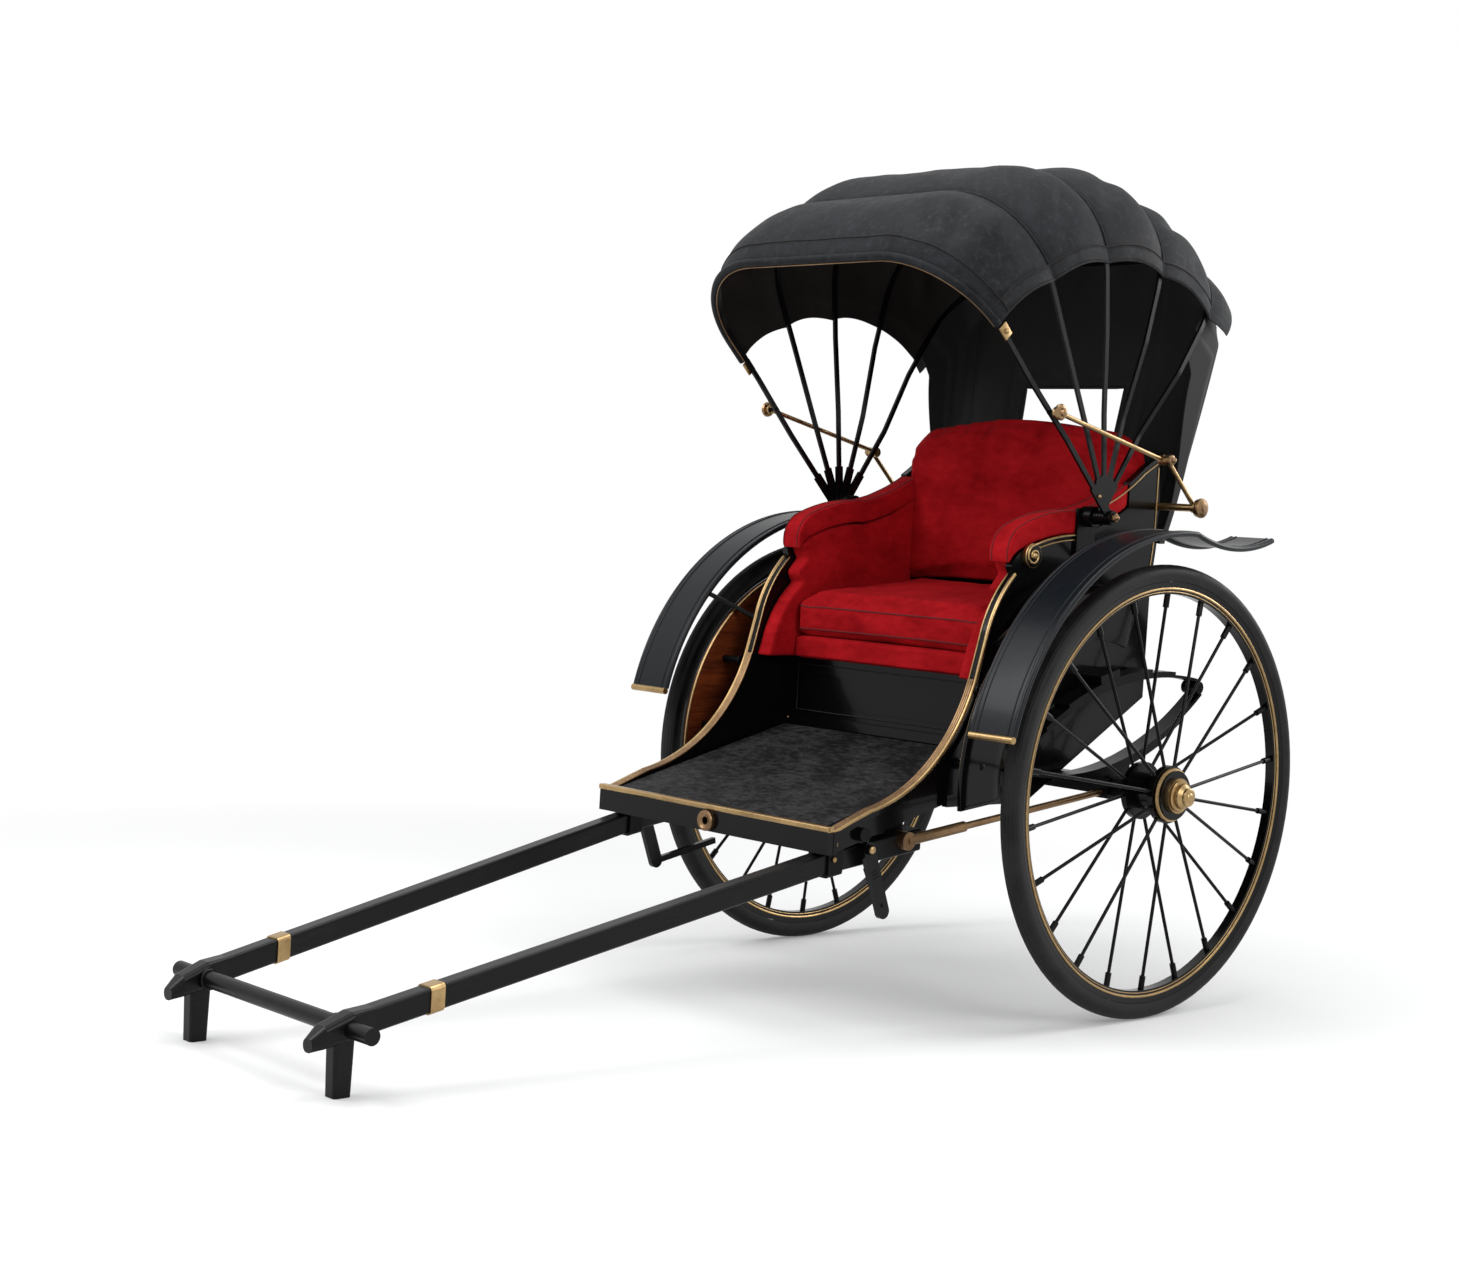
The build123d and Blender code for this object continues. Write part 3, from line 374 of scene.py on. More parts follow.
def turned(at, axis, profile, steps=40):
    # profile is a closed ring of (radius, along) and is spun about the axis
    clearPick()
    bpy.ops.mesh.primitive_circle_add(vertices=len(profile), fill_type="NOTHING")
    piece = bpy.context.object
    along = Vector(axis).normalized()
    side = along.orthogonal().normalized()
    for vertex, (radius, reach) in zip(piece.data.vertices, profile):
        vertex.co = Vector(at) + side * radius + along * reach
    bpy.ops.object.mode_set(mode="EDIT")
    bpy.ops.mesh.select_all(action="SELECT")
    bpy.ops.mesh.spin(steps=steps, angle=2 * math.pi, center=at, axis=along)
    mend(piece, True)
    smoothBy(piece, 38)
    return piece


def dome(at, axis, radius, height):
    # a rivet or bolt head with a low crown
    ring = [(0.0, -0.001), (radius, -0.001), (radius, height * 0.35), (radius * 0.82, height * 0.75),
            (radius * 0.45, height), (0.0, height)]
    return turned(at, axis, ring, 20)


def hexNut(at, axis, radius, height):
    clearPick()
    bpy.ops.mesh.primitive_cylinder_add(vertices=6, radius=radius, depth=height)
    piece = bpy.context.object
    piece.rotation_mode = "QUATERNION"
    piece.rotation_quaternion = Vector((0, 0, 1)).rotation_difference(Vector(axis))
    piece.location = Vector(at) + Vector(axis).normalized() * height / 2
    bpy.ops.object.transform_apply(location=True, rotation=True, scale=True)
    press(piece, "BEVEL", width=radius * 0.12, segments=2)
    return piece


def pairOf(make, at, *shape):
    # the same small part on the left and on the right
    x, y, z = at
    return [make((x, sign * y, z), (0, sign, 0), *shape) for side, sign in flanks]


def gridOf(across, along, place):
    # a grid whose points lie where place(column, row) says
    clearPick()
    bpy.ops.mesh.primitive_grid_add(x_subdivisions=across, y_subdivisions=along, size=1.0, calc_uvs=True)
    piece = bpy.context.object
    for number, vertex in enumerate(piece.data.vertices):
        row, column = divmod(number, across + 1)
        vertex.co = place(column, row)
    piece.data.update()
    return piece


def areaOf(piece):
    return sum(face.area for face in piece.data.polygons)


def surfaceOf(piece):
    return BVHTree.FromPolygons([v.co.copy() for v in piece.data.vertices],
                                [tuple(p.vertices) for p in piece.data.polygons])


def arcThrough(a, b, c, count):
    # points on the circle through three points in the side view
    ax, az = a
    bx, bz = b
    cx, cz = c
    d = 2 * (ax * (bz - cz) + bx * (cz - az) + cx * (az - bz))
    a2, b2, c2 = ax * ax + az * az, bx * bx + bz * bz, cx * cx + cz * cz
    ux = (a2 * (bz - cz) + b2 * (cz - az) + c2 * (az - bz)) / d
    uz = (a2 * (cx - bx) + b2 * (ax - cx) + c2 * (bx - ax)) / d
    radius = math.hypot(ax - ux, az - uz)
    first = math.atan2(az - uz, ax - ux)
    turn = 2 * math.pi
    middle = (math.atan2(bz - uz, bx - ux) - first) % turn
    last = (math.atan2(cz - uz, cx - ux) - first) % turn
    if middle > last:
        last -= turn
    angles = [first + last * i / count for i in range(count + 1)]
    return [(ux + radius * math.cos(angle), uz + radius * math.sin(angle)) for angle in angles]


def shifted(path, reach):
    # the path moved sideways by reach, to its left
    moved = []
    for i, (x, z) in enumerate(path):
        back, ahead = path[max(i - 1, 0)], path[min(i + 1, len(path) - 1)]
        dx, dz = ahead[0] - back[0], ahead[1] - back[1]
        run = math.hypot(dx, dz) or 1.0
        moved.append((x - dz / run * reach, z + dx / run * reach))
    return moved


def inRow(path, y):
    # side-view points, measured from the axle in metres, put in the row frame
    return [(x + axleX, y, z + axleZ) for x, z in path]


def bothSides(points):
    return [points, [(x, -y, z) for x, y, z in points]]


def strips(path, y, radius, sides=3):
    # tubes along a side-view path, on both sides of the body
    return [tube(points, radius, sides=sides) for points in bothSides(inRow(path, y))]


def clamped(value):
    return max(0.0, min(1.0, value))


# hood cover: one canvas over five bows, cut at the bows into four panels
hood = {
    "pivot": (-0.674, 1.138), "bows": (44.0, 64.0, 84.0, 104.0, 124.0), "half": 0.4345, "height": 0.7792,
    "corner": 0.2342, "foot": 0.40, "hemLeft": (0.578, 0.566, 0.572, 0.578, 0.586),
    "hemRight": (0.484, 0.476, 0.464, 0.474, 0.470), "meanHems": (0.57, 0.475), "hemRise": 0.007,
    "swell": 0.029, "hemSwell": 0.35, "fullFrom": 0.22, "ripples": ((0.0045, 7.0), (0.0018, 19.0)),
    "stayRoom": 0.0115, "stayEase": 0.36, "thick": 0.0026, "band": 0.036, "bandLift": 0.0030, "bandStep": 0.0012,
    "foldReach": 0.47, "across": 150, "along": 26,
}
hoodPivot = Vector((hood["pivot"][0], 0, hood["pivot"][1]))


def hoodSpot(degrees, y, radius):
    a = math.radians(degrees)
    return Vector((hood["pivot"][0] + radius * math.cos(a), y, hood["pivot"][1] + radius * math.sin(a)))


def sideRun(hem):
    straight = hood["height"] - hood["corner"]
    if hem <= straight:
        return hem - hood["foot"]
    return straight - hood["foot"] + hood["corner"] * math.asin((hem - straight) / hood["corner"])


hoodSide = hood["height"] - hood["corner"] - hood["foot"]
hoodBend = math.pi / 2 * hood["corner"]
hoodTop = 2 * (hood["half"] - hood["corner"])
hoodRun = 2 * hoodSide + 2 * hoodBend + hoodTop
coverGirth = hoodRun - sideRun(hood["meanHems"][0]) - sideRun(hood["meanHems"][1])
bandShare = hood["band"] / coverGirth


def hoodLine(run):
    # (y, radius) on the bow outline and the outward direction there
    flip = 1.0
    if run > hoodRun / 2:
        run = hoodRun - run
        flip = -1.0
    if run < hoodSide:
        return flip * hood["half"], hood["foot"] + run, flip, 0.0
    run -= hoodSide
    corner = hood["corner"]
    inner = hood["half"] - corner
    if run < hoodBend:
        a = run / corner
        return (flip * (inner + corner * math.cos(a)), hood["height"] - corner + corner * math.sin(a),
                flip * math.cos(a), math.sin(a))
    run -= hoodBend
    return flip * (inner - run), hood["height"], 0.0, 1.0


def hemRuns(index):
    # where the cover starts and ends on a bow
    return sideRun(hood["hemLeft"][index]), hoodRun - sideRun(hood["hemRight"][index])


# soft creases in the cover: panel, start and end as shares across and along, height, width
creases = (
    (0, (0.20, 0.10), (0.29, 0.62), -0.010, 0.016), (0, (0.15, 0.20), (0.22, 0.80), -0.012, 0.014),
    (0, (0.10, 0.45), (0.17, 0.95), 0.008, 0.015), (1, (0.12, 0.10), (0.24, 0.55), -0.010, 0.014),
    (1, (0.08, 0.40), (0.18, 0.85), -0.009, 0.013), (2, (0.10, 0.20), (0.25, 0.75), -0.009, 0.014),
    (3, (0.12, 0.15), (0.22, 0.80), -0.009, 0.014), (0, (0.80, 0.15), (0.88, 0.75), -0.010, 0.015),
    (1, (0.78, 0.25), (0.90, 0.70), -0.009, 0.015), (2, (0.76, 0.20), (0.88, 0.80), -0.009, 0.014),
    (3, (0.80, 0.20), (0.90, 0.75), -0.008, 0.014), (3, (0.40, 0.20), (0.55, 0.80), -0.006, 0.020),
)
creaseScale = {"across": 7.0, "height": 1.3, "width": 9.0}


def creaseAt(panel, across, along):
    total = 0.0
    for where, (sx, sy), (ex, ey), height, width in creases:
        if where != panel:
            continue
        dx, dy = (ex - sx) * creaseScale["across"], ey - sy
        px, py = (across - sx) * creaseScale["across"], along - sy
        t = clamped((px * dx + py * dy) / (dx * dx + dy * dy))
        gap = math.hypot(px - t * dx, py - t * dy)
        fall = math.exp(-(gap / (width * creaseScale["width"])) ** 2)
        total += creaseScale["height"] * height * fall * math.sin(math.pi * min(1.0, t * 0.9 + 0.05))
    return total


def coverSpot(panel, across, along, lift=0.0):
    bows = hood["bows"]
    degrees = bows[panel] + (bows[panel + 1] - bows[panel]) * along
    rise = hood["hemRise"] * math.sin(math.pi * along)
    left, right = (hems[panel] * (1 - along) + hems[panel + 1] * along + rise
                   for hems in (hood["hemLeft"], hood["hemRight"]))
    start, end = sideRun(left), hoodRun - sideRun(right)
    run = start + (end - start) * across
    y, radius, outY, outR = hoodLine(run)
    edge = min(run - start, end - run)
    fullness = hood["hemSwell"] + (1 - hood["hemSwell"]) * min(1.0, edge / hood["fullFrom"])
    swell = hood["swell"] * fullness * math.sin(math.pi * along) ** 0.75
    damp = math.sin(math.pi * along) ** 0.5
    spot = hoodSpot(degrees, y, radius)
    ripple = sum(height * noise.noise(spot * scale) for height, scale in hood["ripples"])
    push = swell + damp * (ripple + creaseAt(panel, across, along))
    if edge < hood["band"]:
        push += hood["bandLift"]
    if panel == 0:
        # the front panel leaves room for the stays when the hood is folded
        push = min(push, hood["stayRoom"] + hood["stayEase"] * (1 - abs(outY)))
    push += lift
    return hoodSpot(degrees, y + outY * push, radius + outR * push)


def spread(count, extras):
    # even steps with a few exact places let in
    steps = [i / count for i in range(count + 1)]
    for extra in extras:
        nearest = min(range(1, count), key=lambda i: abs(steps[i] - extra))
        steps[nearest] = extra
    return steps


def foldWith(piece, index):
    # works out the middle of a panel between its two bows; the piece itself only has its transform applied
    ahead, behind = hood["bows"][index], hood["bows"][index + 1]
    middleAngle = (ahead + behind) / 2
    half = math.radians((behind - ahead) / 2)
    towards = hoodSpot(middleAngle + 90, 0, hood["foldReach"] * math.sin(half)) - hoodPivot
    centre = hoodSpot(middleAngle, 0, hood["foldReach"])
    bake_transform(piece)


def faceOutward(piece):
    middle = piece.data.polygons[len(piece.data.polygons) // 2]
    if middle.normal.dot(middle.center - hoodPivot) < 0:
        piece.data.flip_normals()


def lined(piece, thick, even):
    # canvas outside, lining inside
    faceOutward(piece)
    for finish in ("canvas", "lining"):
        piece.data.materials.append(finishes[finish])
    press(piece, "SOLIDIFY", thickness=thick, offset=1.0, material_offset=1, use_even_offset=even)
    smoothBy(piece, 60)


# binding sewn round the front edge of the cover
binding = {"wide": 0.150, "lift": 0.0034, "across": 130, "along": 6, "thick": 0.0014}


def frontBinding():
    def place(column, row):
        along = row / binding["along"]
        lift = binding["lift"] * (1 - 0.5 * along)
        return coverSpot(0, column / binding["across"], along * binding["wide"], lift)

    piece = gridOf(binding["across"], binding["along"], place)
    faceOutward(piece)
    press(piece, "SOLIDIFY", thickness=binding["thick"], offset=1.0)
    smoothBy(piece, 60)
    settle(piece, "hoodBinding", "canvas", None)
    foldWith(piece, 0)
    return piece


# dark seam lines on the cover: both hem bands, and the rear edge of the binding
seam = {"radius": 0.0013, "lift": 0.0028, "steps": 40, "inset": 0.0032, "outside": 0.0006,
        "bindingEnds": (0.004, 0.992), "bindingAt": 0.965, "bindingLift": 0.0005, "bindingSteps": 120}


def coverSeams(index):
    band = bandShare - seam["outside"]
    threads = []
    for across in (band, 1 - band, seam["inset"], 1 - seam["inset"]):
        points = [coverSpot(index, across, i / seam["steps"], seam["lift"]) for i in range(seam["steps"] + 1)]
        threads.append(tube(points, seam["radius"]))
    if index == 0:
        start, run = seam["bindingEnds"]
        along, lift = binding["wide"] * seam["bindingAt"], binding["lift"] + seam["bindingLift"]
        points = [coverSpot(0, start + run * i / seam["bindingSteps"], along, lift)
                  for i in range(seam["bindingSteps"] + 1)]
        threads.append(tube(points, seam["radius"]))
    piece = settle(threads, "hoodSeams%d" % (index + 1), "lining", None)
    foldWith(piece, index)
    return piece


def coverPanel(index):
    step = hood["bandStep"]
    crosswise = spread(hood["across"], (bandShare, bandShare + step, 1 - bandShare - step, 1 - bandShare))
    piece = gridOf(hood["across"], hood["along"],
                   lambda column, row: coverSpot(index, crosswise[column], row / hood["along"]))
    length = areaOf(piece) / coverGirth
    lined(piece, hood["thick"], True)
    settle(piece, "hoodCover%d" % (index + 1), ("canvas", "lining"), None)
    foldWith(piece, index)
    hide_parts("hood_panel_%d" % (index + 1))
    [coverSeams(index)] + ([frontBinding()] if index == 0 else [])


for index in range(4):
    coverPanel(index)
print("hood cover stretched over the bows")

# welts over the bows, the rolled front edge and its bronze line
edging = {"welt": 0.0034, "weltLift": 0.0042, "roll": 0.0095, "rollLift": 0.002, "rollForward": -0.75,
          "line": 0.0016, "lineLift": -0.0075, "lineForward": -1.15, "steps": 120}


def bowPath(index, lift, past=0.0):
    left, right = hemRuns(index)
    points = []
    for i in range(edging["steps"] + 1):
        y, radius, outY, outR = hoodLine(left + (right - left) * i / edging["steps"])
        points.append(tuple(hoodSpot(hood["bows"][index] + past, y + outY * lift, radius + outR * lift)))
    return points


def bowWelt(index):
    name = "%d" % (index + 1)
    settle(tube(bowPath(index, edging["weltLift"]), edging["welt"]), "hoodWelt" + name, "canvas", "bow_" + name)


for index in (1, 2, 3):
    bowWelt(index)
rollPath = bowPath(0, edging["rollLift"], edging["rollForward"])
settle(tube(rollPath, edging["roll"]), "hoodRoll", "canvas", "bow_1")
rollPath = bowPath(0, edging["lineLift"], edging["lineForward"])
settle(tube(rollPath, edging["line"]), "hoodRollLine", "bronze", "bow_1")

# rear valance that hangs behind the last bow
valance = {"reach": 8.5, "sideReach": 0.75, "drop": 0.010, "flare": 0.020, "wave": 0.004, "waves": (14, 2),
           "across": 110, "along": 10, "thick": 0.0026}


def rearValance():
    left, right = hemRuns(4)

    def place(column, row):
        across, along = column / valance["across"], row / valance["along"]
        y, radius, outY, outR = hoodLine(left + (right - left) * across)
        top = math.sin(math.pi * across) ** 0.6
        wave = noise.noise(Vector((across * valance["waves"][0], along * valance["waves"][1], 3.0)))
        flare = valance["flare"] * math.sin(math.pi * 0.5 * along) + valance["wave"] * wave * along
        push = flare - valance["drop"] * along * top
        reach = valance["reach"] * along * (valance["sideReach"] + (1 - valance["sideReach"]) * top)
        return hoodSpot(hood["bows"][4] + reach, y + outY * push, radius + outR * push)

    piece = gridOf(valance["across"], valance["along"], place)
    area = areaOf(piece)
    lined(piece, valance["thick"], False)
    settle(piece, "hoodValance", ("canvas", "lining"), "bow_5")
    right - left
    area / (right - left)


rearValance()
bowWelt(4)

# rear curtain with its wings, soft folds and a window
curtain = {
    "foot": (-0.222, 1.086), "footHalf": 0.373, "backHalf": 0.425, "taperFrom": 1.56, "behindBow": 0.6,
    "topRun": 0.7725, "sideGap": 0.0065, "bulge": 0.014, "wing": 0.098, "wingTop": (0.565, 0.085),
    "wingDraw": 0.72, "drawFrom": 1.50, "drawOver": 0.36, "easeBack": 0.12, "easeWing": 0.10, "turn": 0.030,
    "rounding": 0.010, "folds": (-0.357, -0.224, 0.224, 0.357), "foldHigh": 0.013, "foldWide": 0.011,
    "ripple": 0.0055, "ripples": 46.0, "window": (-0.168, 0.158, 1.352, 1.466), "windowRoom": 0.03,
    "binding": 0.0042, "bindingSteps": 12, "thick": 0.0024, "across": 128, "along": 76, "flatHigh": 0.70,
    "blendFrom": 0.02, "blendTo": (-0.075, 1.55),
}
curtainReach = curtain["backHalf"] + curtain["wing"]
curtainAngle = hood["bows"][4] + curtain["behindBow"]
curtainFootX, curtainFootZ = curtain["foot"][0] + axleX, curtain["foot"][1]
curtainCrown = hoodSpot(curtainAngle, 0, curtain["topRun"])


def curtainBack(z):
    share = (z - curtainFootZ) / (curtainCrown.z - curtainFootZ)
    x = curtainFootX + (curtainCrown.x - curtain["foot"][0] - axleX) * share
    return x - curtain["bulge"] * 4 * share * (1 - share)


def curtainTop(y):
    inner = hood["half"] - hood["corner"]
    if y <= inner:
        return curtain["topRun"]
    side = min(y - inner, hood["corner"] * 0.999)
    return hood["height"] - hood["corner"] + math.sqrt(hood["corner"] ** 2 - side ** 2) - curtain["sideGap"]


def curtainTaper(z):
    half, high = curtain["backHalf"], curtain["taperFrom"]
    return 1 - (half - curtain["footHalf"]) / half * clamped((high - z) / (high - curtainFootZ))


def curtainSpot(w, share):
    # w runs across the cloth from wing to wing, share runs down it
    half, turn = curtain["backHalf"], curtain["turn"]
    into = max(0.0, abs(w) - half)
    y = min(abs(w), half)
    wingTop, wingFall = curtain["wingTop"]
    radius = wingTop - wingFall * into / curtain["wing"] if into > 0 else curtainTop(y)
    crown = hoodSpot(curtainAngle, 0, radius)
    z = crown.z + (curtainFootZ - crown.z) * share
    taper = curtainTaper(z)
    x = curtainBack(z)
    if into > 0:
        low = clamped((curtain["drawFrom"] - z) / curtain["drawOver"])
        x = x + into * (1 - curtain["wingDraw"] * low * low * (3 - 2 * low))
    # the head of the cloth eases into the line of the bow
    if share < curtain["easeBack"] and into == 0:
        ease = 1 - share / curtain["easeBack"]
        x = x * (1 - ease) + (crown.x + (curtainBack(z) - curtainBack(crown.z))) * ease
    if into > 0 and share < curtain["easeWing"]:
        ease = 1 - share / curtain["easeWing"]
        x = x * (1 - ease) + crown.x * ease
    soft = max(0.0, abs(w) - half + turn)
    if soft > 0 and into < turn:
        bend = math.sin(math.pi * min(1.0, soft / (2 * turn)))
        y -= curtain["rounding"] * bend
        x += curtain["rounding"] * bend
    fold = 0.0
    for at in curtain["folds"]:
        fold += curtain["foldHigh"] * math.exp(-((w - at) / curtain["foldWide"]) ** 2) * min(1.0, 0.25 + share)
    wave = math.sin(w * curtain["ripples"] + 1.2 * math.sin(3 * share))
    fold += curtain["ripple"] * wave * min(1.0, 0.2 + share)
    y0, y1, z0, z1 = curtain["window"]
    room = curtain["windowRoom"]
    nearWindow = y0 - room < w < y1 + room and z0 - room < z < z1 + room
    if not nearWindow and into == 0 and 0.02 < share < 0.99:
        x -= fold
    return (x, (1.0 if w > 0 else -1.0) * y * taper, z)


def cutWindow(piece, inside):
    for face in piece.data.polygons:
        face.select = all(inside(number) for number in face.vertices)
    for loose in (*piece.data.vertices, *piece.data.edges):
        loose.select = False
    pickOnly(piece)
    bpy.ops.object.mode_set(mode="EDIT")
    bpy.ops.mesh.select_mode(type="FACE")
    bpy.ops.mesh.delete(type="FACE")
    bpy.ops.mesh.select_mode(type="VERT")
    bpy.ops.object.mode_set(mode="OBJECT")


def hangCurtain(piece):
    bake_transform(piece)


def rearCurtain():
    y0, y1, z0, z1 = curtain["window"]
    drop = curtainCrown.z - curtainFootZ
    sideCuts = [(w + curtainReach) / (2 * curtainReach) for w in (y0, y1)]
    levelCuts = [(curtainCrown.z - z) / drop for z in (z1, z0)]
    columns, rows = spread(curtain["across"], sideCuts), spread(curtain["along"], levelCuts)
    piece = gridOf(curtain["across"], curtain["along"],
                   lambda column, row: curtainSpot((columns[column] * 2 - 1) * curtainReach, rows[row]))
    left, right = (columns.index(cut) for cut in sideCuts)
    high, low = (rows.index(cut) for cut in levelCuts)
    wide = curtain["across"] + 1
    cutWindow(piece, lambda number: left <= number % wide <= right and high <= number // wide <= low)
    press(piece, "SOLIDIFY", thickness=curtain["thick"], offset=0.0)
    smoothBy(piece, 60)
    settle(piece, "rearCurtain", "curtain", None)
    hangCurtain(piece)
    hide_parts("hood_curtain")

    corners = [(y0, z0), (y1, z0), (y1, z1), (y0, z1)]
    loop = []
    for (ya, za), (yb, zb) in zip(corners, corners[1:] + corners[:1]):
        for i in range(curtain["bindingSteps"]):
            share = i / curtain["bindingSteps"]
            y, z = ya + (yb - ya) * share, za + (zb - za) * share
            loop.append((curtainBack(z), y * curtainTaper(z), z))
    hangCurtain(settle(tube(loop, curtain["binding"], closed=True), "curtainBinding", "lining", None))


rearCurtain()
print("curtain hung")

# upholstery: each pad starts from its CAD solid, a little smaller, and is blown up by the cloth solver
blow = {"quality": 4, "mass": 0.3, "tension_stiffness": 15, "compression_stiffness": 15, "bending_stiffness": 6,
        "use_pressure": True}
blowFrames, footHeight = 20, 0.06


def liftCopy(node):
    # a loose copy of a CAD piece, with its doubles merged
    piece = nodes[node].copy()
    piece.data = nodes[node].data.copy()
    piece.parent = None
    bpy.context.scene.collection.objects.link(piece)
    piece.matrix_world = Matrix.Identity(4)
    for key in list(piece.keys()):
        del piece[key]
    piece.hide_render = False
    piece.hide_viewport = False
    mend(piece)
    return piece


def inflate(piece, pressure):
    pickOnly(piece)
    cloth = piece.modifiers.new("blow", "CLOTH")
    for key, value in blow.items():
        setattr(cloth.settings, key, value)
    cloth.settings.uniform_pressure_force = pressure
    cloth.settings.effector_weights.gravity = 0.0
    cloth.point_cache.frame_start = 1
    cloth.point_cache.frame_end = blowFrames
    for step in range(1, blowFrames + 1):
        bpy.context.scene.frame_set(step)
    bpy.ops.object.modifier_apply(modifier="blow")
    bpy.context.scene.frame_set(1)


def plump(name, pad):
    piece = liftCopy(pad["node"])
    solid = surfaceOf(piece)
    press(piece, "REMESH", mode="VOXEL", voxel_size=pad["voxel"])
    press(piece, "DISPLACE", strength=-pad["shrink"], mid_level=0.0)
    press(piece, "SMOOTH", factor=0.5, iterations=pad["rounds"])
    before = [v.co.copy() for v in piece.data.vertices]
    inflate(piece, pad["pressure"])
    # held to a short way out, and proud of its solid only on the side that shows
    faceOut = Vector(pad["proudTowards"])
    for vertex, start in zip(piece.data.vertices, before):
        move = vertex.co - start
        if move.length > pad["cap"]:
            vertex.co = start + move * (pad["cap"] / move.length)
        spot, normal, number, gap = solid.find_nearest(vertex.co)
        if spot is not None:
            outside = (vertex.co - spot).dot(normal)
            allowed = pad["proud"] * max(0.0, normal.dot(faceOut))
            if outside > allowed:
                vertex.co -= normal * (outside - allowed)
    press(piece, "SMOOTH", factor=0.4, iterations=2)
    # the pad fills the room of its solid again, and its foot settles on what is below
    low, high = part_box(pad["node"])
    for axis in pad["fit"]:
        places = [vertex.co[axis] for vertex in piece.data.vertices]
        small, large = min(places), max(places)
        for vertex in piece.data.vertices:
            share = (vertex.co[axis] - small) / (large - small)
            vertex.co[axis] = low[axis] + (high[axis] - low[axis]) * share
    for vertex in piece.data.vertices:
        vertex.co.z -= pad["settle"] * max(0.0, 1 - (vertex.co.z - low[2]) / footHeight)
    if pad["refine"]:
        press(piece, "SUBSURF", levels=1, render_levels=1)
    smoothBy(piece, 80)
    settle(piece, name, "velvet")
    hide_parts(pad["node"])
    return piece


pads = {
    "seatCushion": {"node": "seat_cushion", "voxel": 0.0085, "shrink": 0.006, "rounds": 5, "pressure": 4.0,
                    "cap": 0.022, "proud": 0.012, "proudTowards": (0.35, 0, 0.94), "refine": True, "fill": 0.75,
                    "fit": (1,), "settle": 0.0},
    "seatPad": {"node": "seat_pad", "voxel": 0.008, "shrink": 0.004, "rounds": 4, "pressure": 3.0,
                "cap": 0.010, "proud": 0.004, "proudTowards": (1, 0, 0), "refine": True, "fill": 0.8,
                "fit": (1, 2), "settle": 0.0},
    "backCushion": {"node": "back_cushion", "voxel": 0.009, "shrink": 0.004, "rounds": 4, "pressure": 4.0,
                    "cap": 0.024, "proud": 0.016, "proudTowards": (0.98, 0, 0.2), "refine": True, "fill": 0.75,
                    "fit": (1, 2), "settle": 0.010},
    "armPads": {"node": "arm_pads", "voxel": 0.0055, "shrink": 0.002, "rounds": 4, "pressure": 3.0,
                "cap": 0.010, "proud": 0.006, "proudTowards": (0.3, 0, 0.95), "refine": True, "fill": 0.85,
                "fit": (0, 1), "settle": 0.0},
    "sidePads": {"node": "side_pads", "voxel": 0.0045, "shrink": 0.0012, "rounds": 4, "pressure": 2.0,
                 "cap": 0.006, "proud": 0.006, "proudTowards": (0.2, 0, 0), "refine": False, "fill": 0.8,
                 "fit": (0, 1, 2), "settle": 0.0},
}
padded = {name: plump(name, pad) for name, pad in pads.items()}
print("upholstery filled")


def sewn(name, piece, points, radius):
    # a piped seam laid on the surface of a pad
    surface = surfaceOf(piece)
    laid = []
    for point in points:
        spot, normal, number, gap = surface.find_nearest(Vector(point))
        laid.append(tuple(spot + normal * radius * 0.25))
    settle(tube(laid, radius), name, "seam")


# side-view lines of the body, measured from the axle
line = {
    "frontCorner": (0.852, -0.0764), "frontRise": (0.796, -0.056), "sweepLow": (0.741, -0.036),
    "sweepMid": (0.577, 0.038), "sweepHigh": (0.431, 0.242), "riseMid": (0.4185, 0.2865), "riseTop": (0.406, 0.331),
    "underArmMid": (0.374, 0.413), "underArm": (0.322, 0.478), "armNose": (0.338, 0.536), "armFront": (0.300, 0.588),
    "armMid": (0.200, 0.621), "armRear": (0.110, 0.632), "shoulderMid": (-0.010, 0.670), "shoulder": (-0.130, 0.742),
    "half": 0.367, "back": -0.195, "curlRadius": 0.600, "slope": 15.0, "floorLow": -0.124,
}
sEdge = [line["frontCorner"], line["frontRise"]]
sEdge += arcThrough(line["sweepLow"], line["sweepMid"], line["sweepHigh"], 40)
sEdge += [line["riseMid"]]
sEdge += arcThrough(line["riseTop"], line["underArmMid"], line["underArm"], 16)
armTop = arcThrough(line["underArm"], line["armNose"], line["armFront"], 16)
armTop += arcThrough(line["armFront"], line["armMid"], line["armRear"], 12)[1:]
armTop += arcThrough(line["armRear"], line["shoulderMid"], line["shoulder"], 14)[1:]

# piping on the arms and the seat
piping = {"arm": 0.0015, "armEdges": (0.358, 0.312), "armEnd": -0.068, "seat": 0.0018, "seatEnd": 0.004,
          "seatRows": (("Top", 0.004, 0.076), ("Low", 0.002, 0.008)), "steps": 60}
armRun = [point for point in armTop[4:] if point[0] > piping["armEnd"]]
for number, y in enumerate(piping["armEdges"]):
    for side, points in zip(("Left", "Right"), bothSides(inRow(armRun, y))):
        sewn("armPiping%s%d" % (side, number + 1), padded["armPads"], points, piping["arm"])
low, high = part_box("seat_cushion")
seatRun = high[1] - low[1] - 2 * piping["seatEnd"]
for name, inset, rise in piping["seatRows"]:
    points = [(high[0] - inset, low[1] + piping["seatEnd"] + seatRun * i / piping["steps"], low[2] + rise)
              for i in range(piping["steps"] + 1)]
    sewn("seatPiping" + name, padded["seatCushion"], points, piping["seat"])
print("seams sewn")

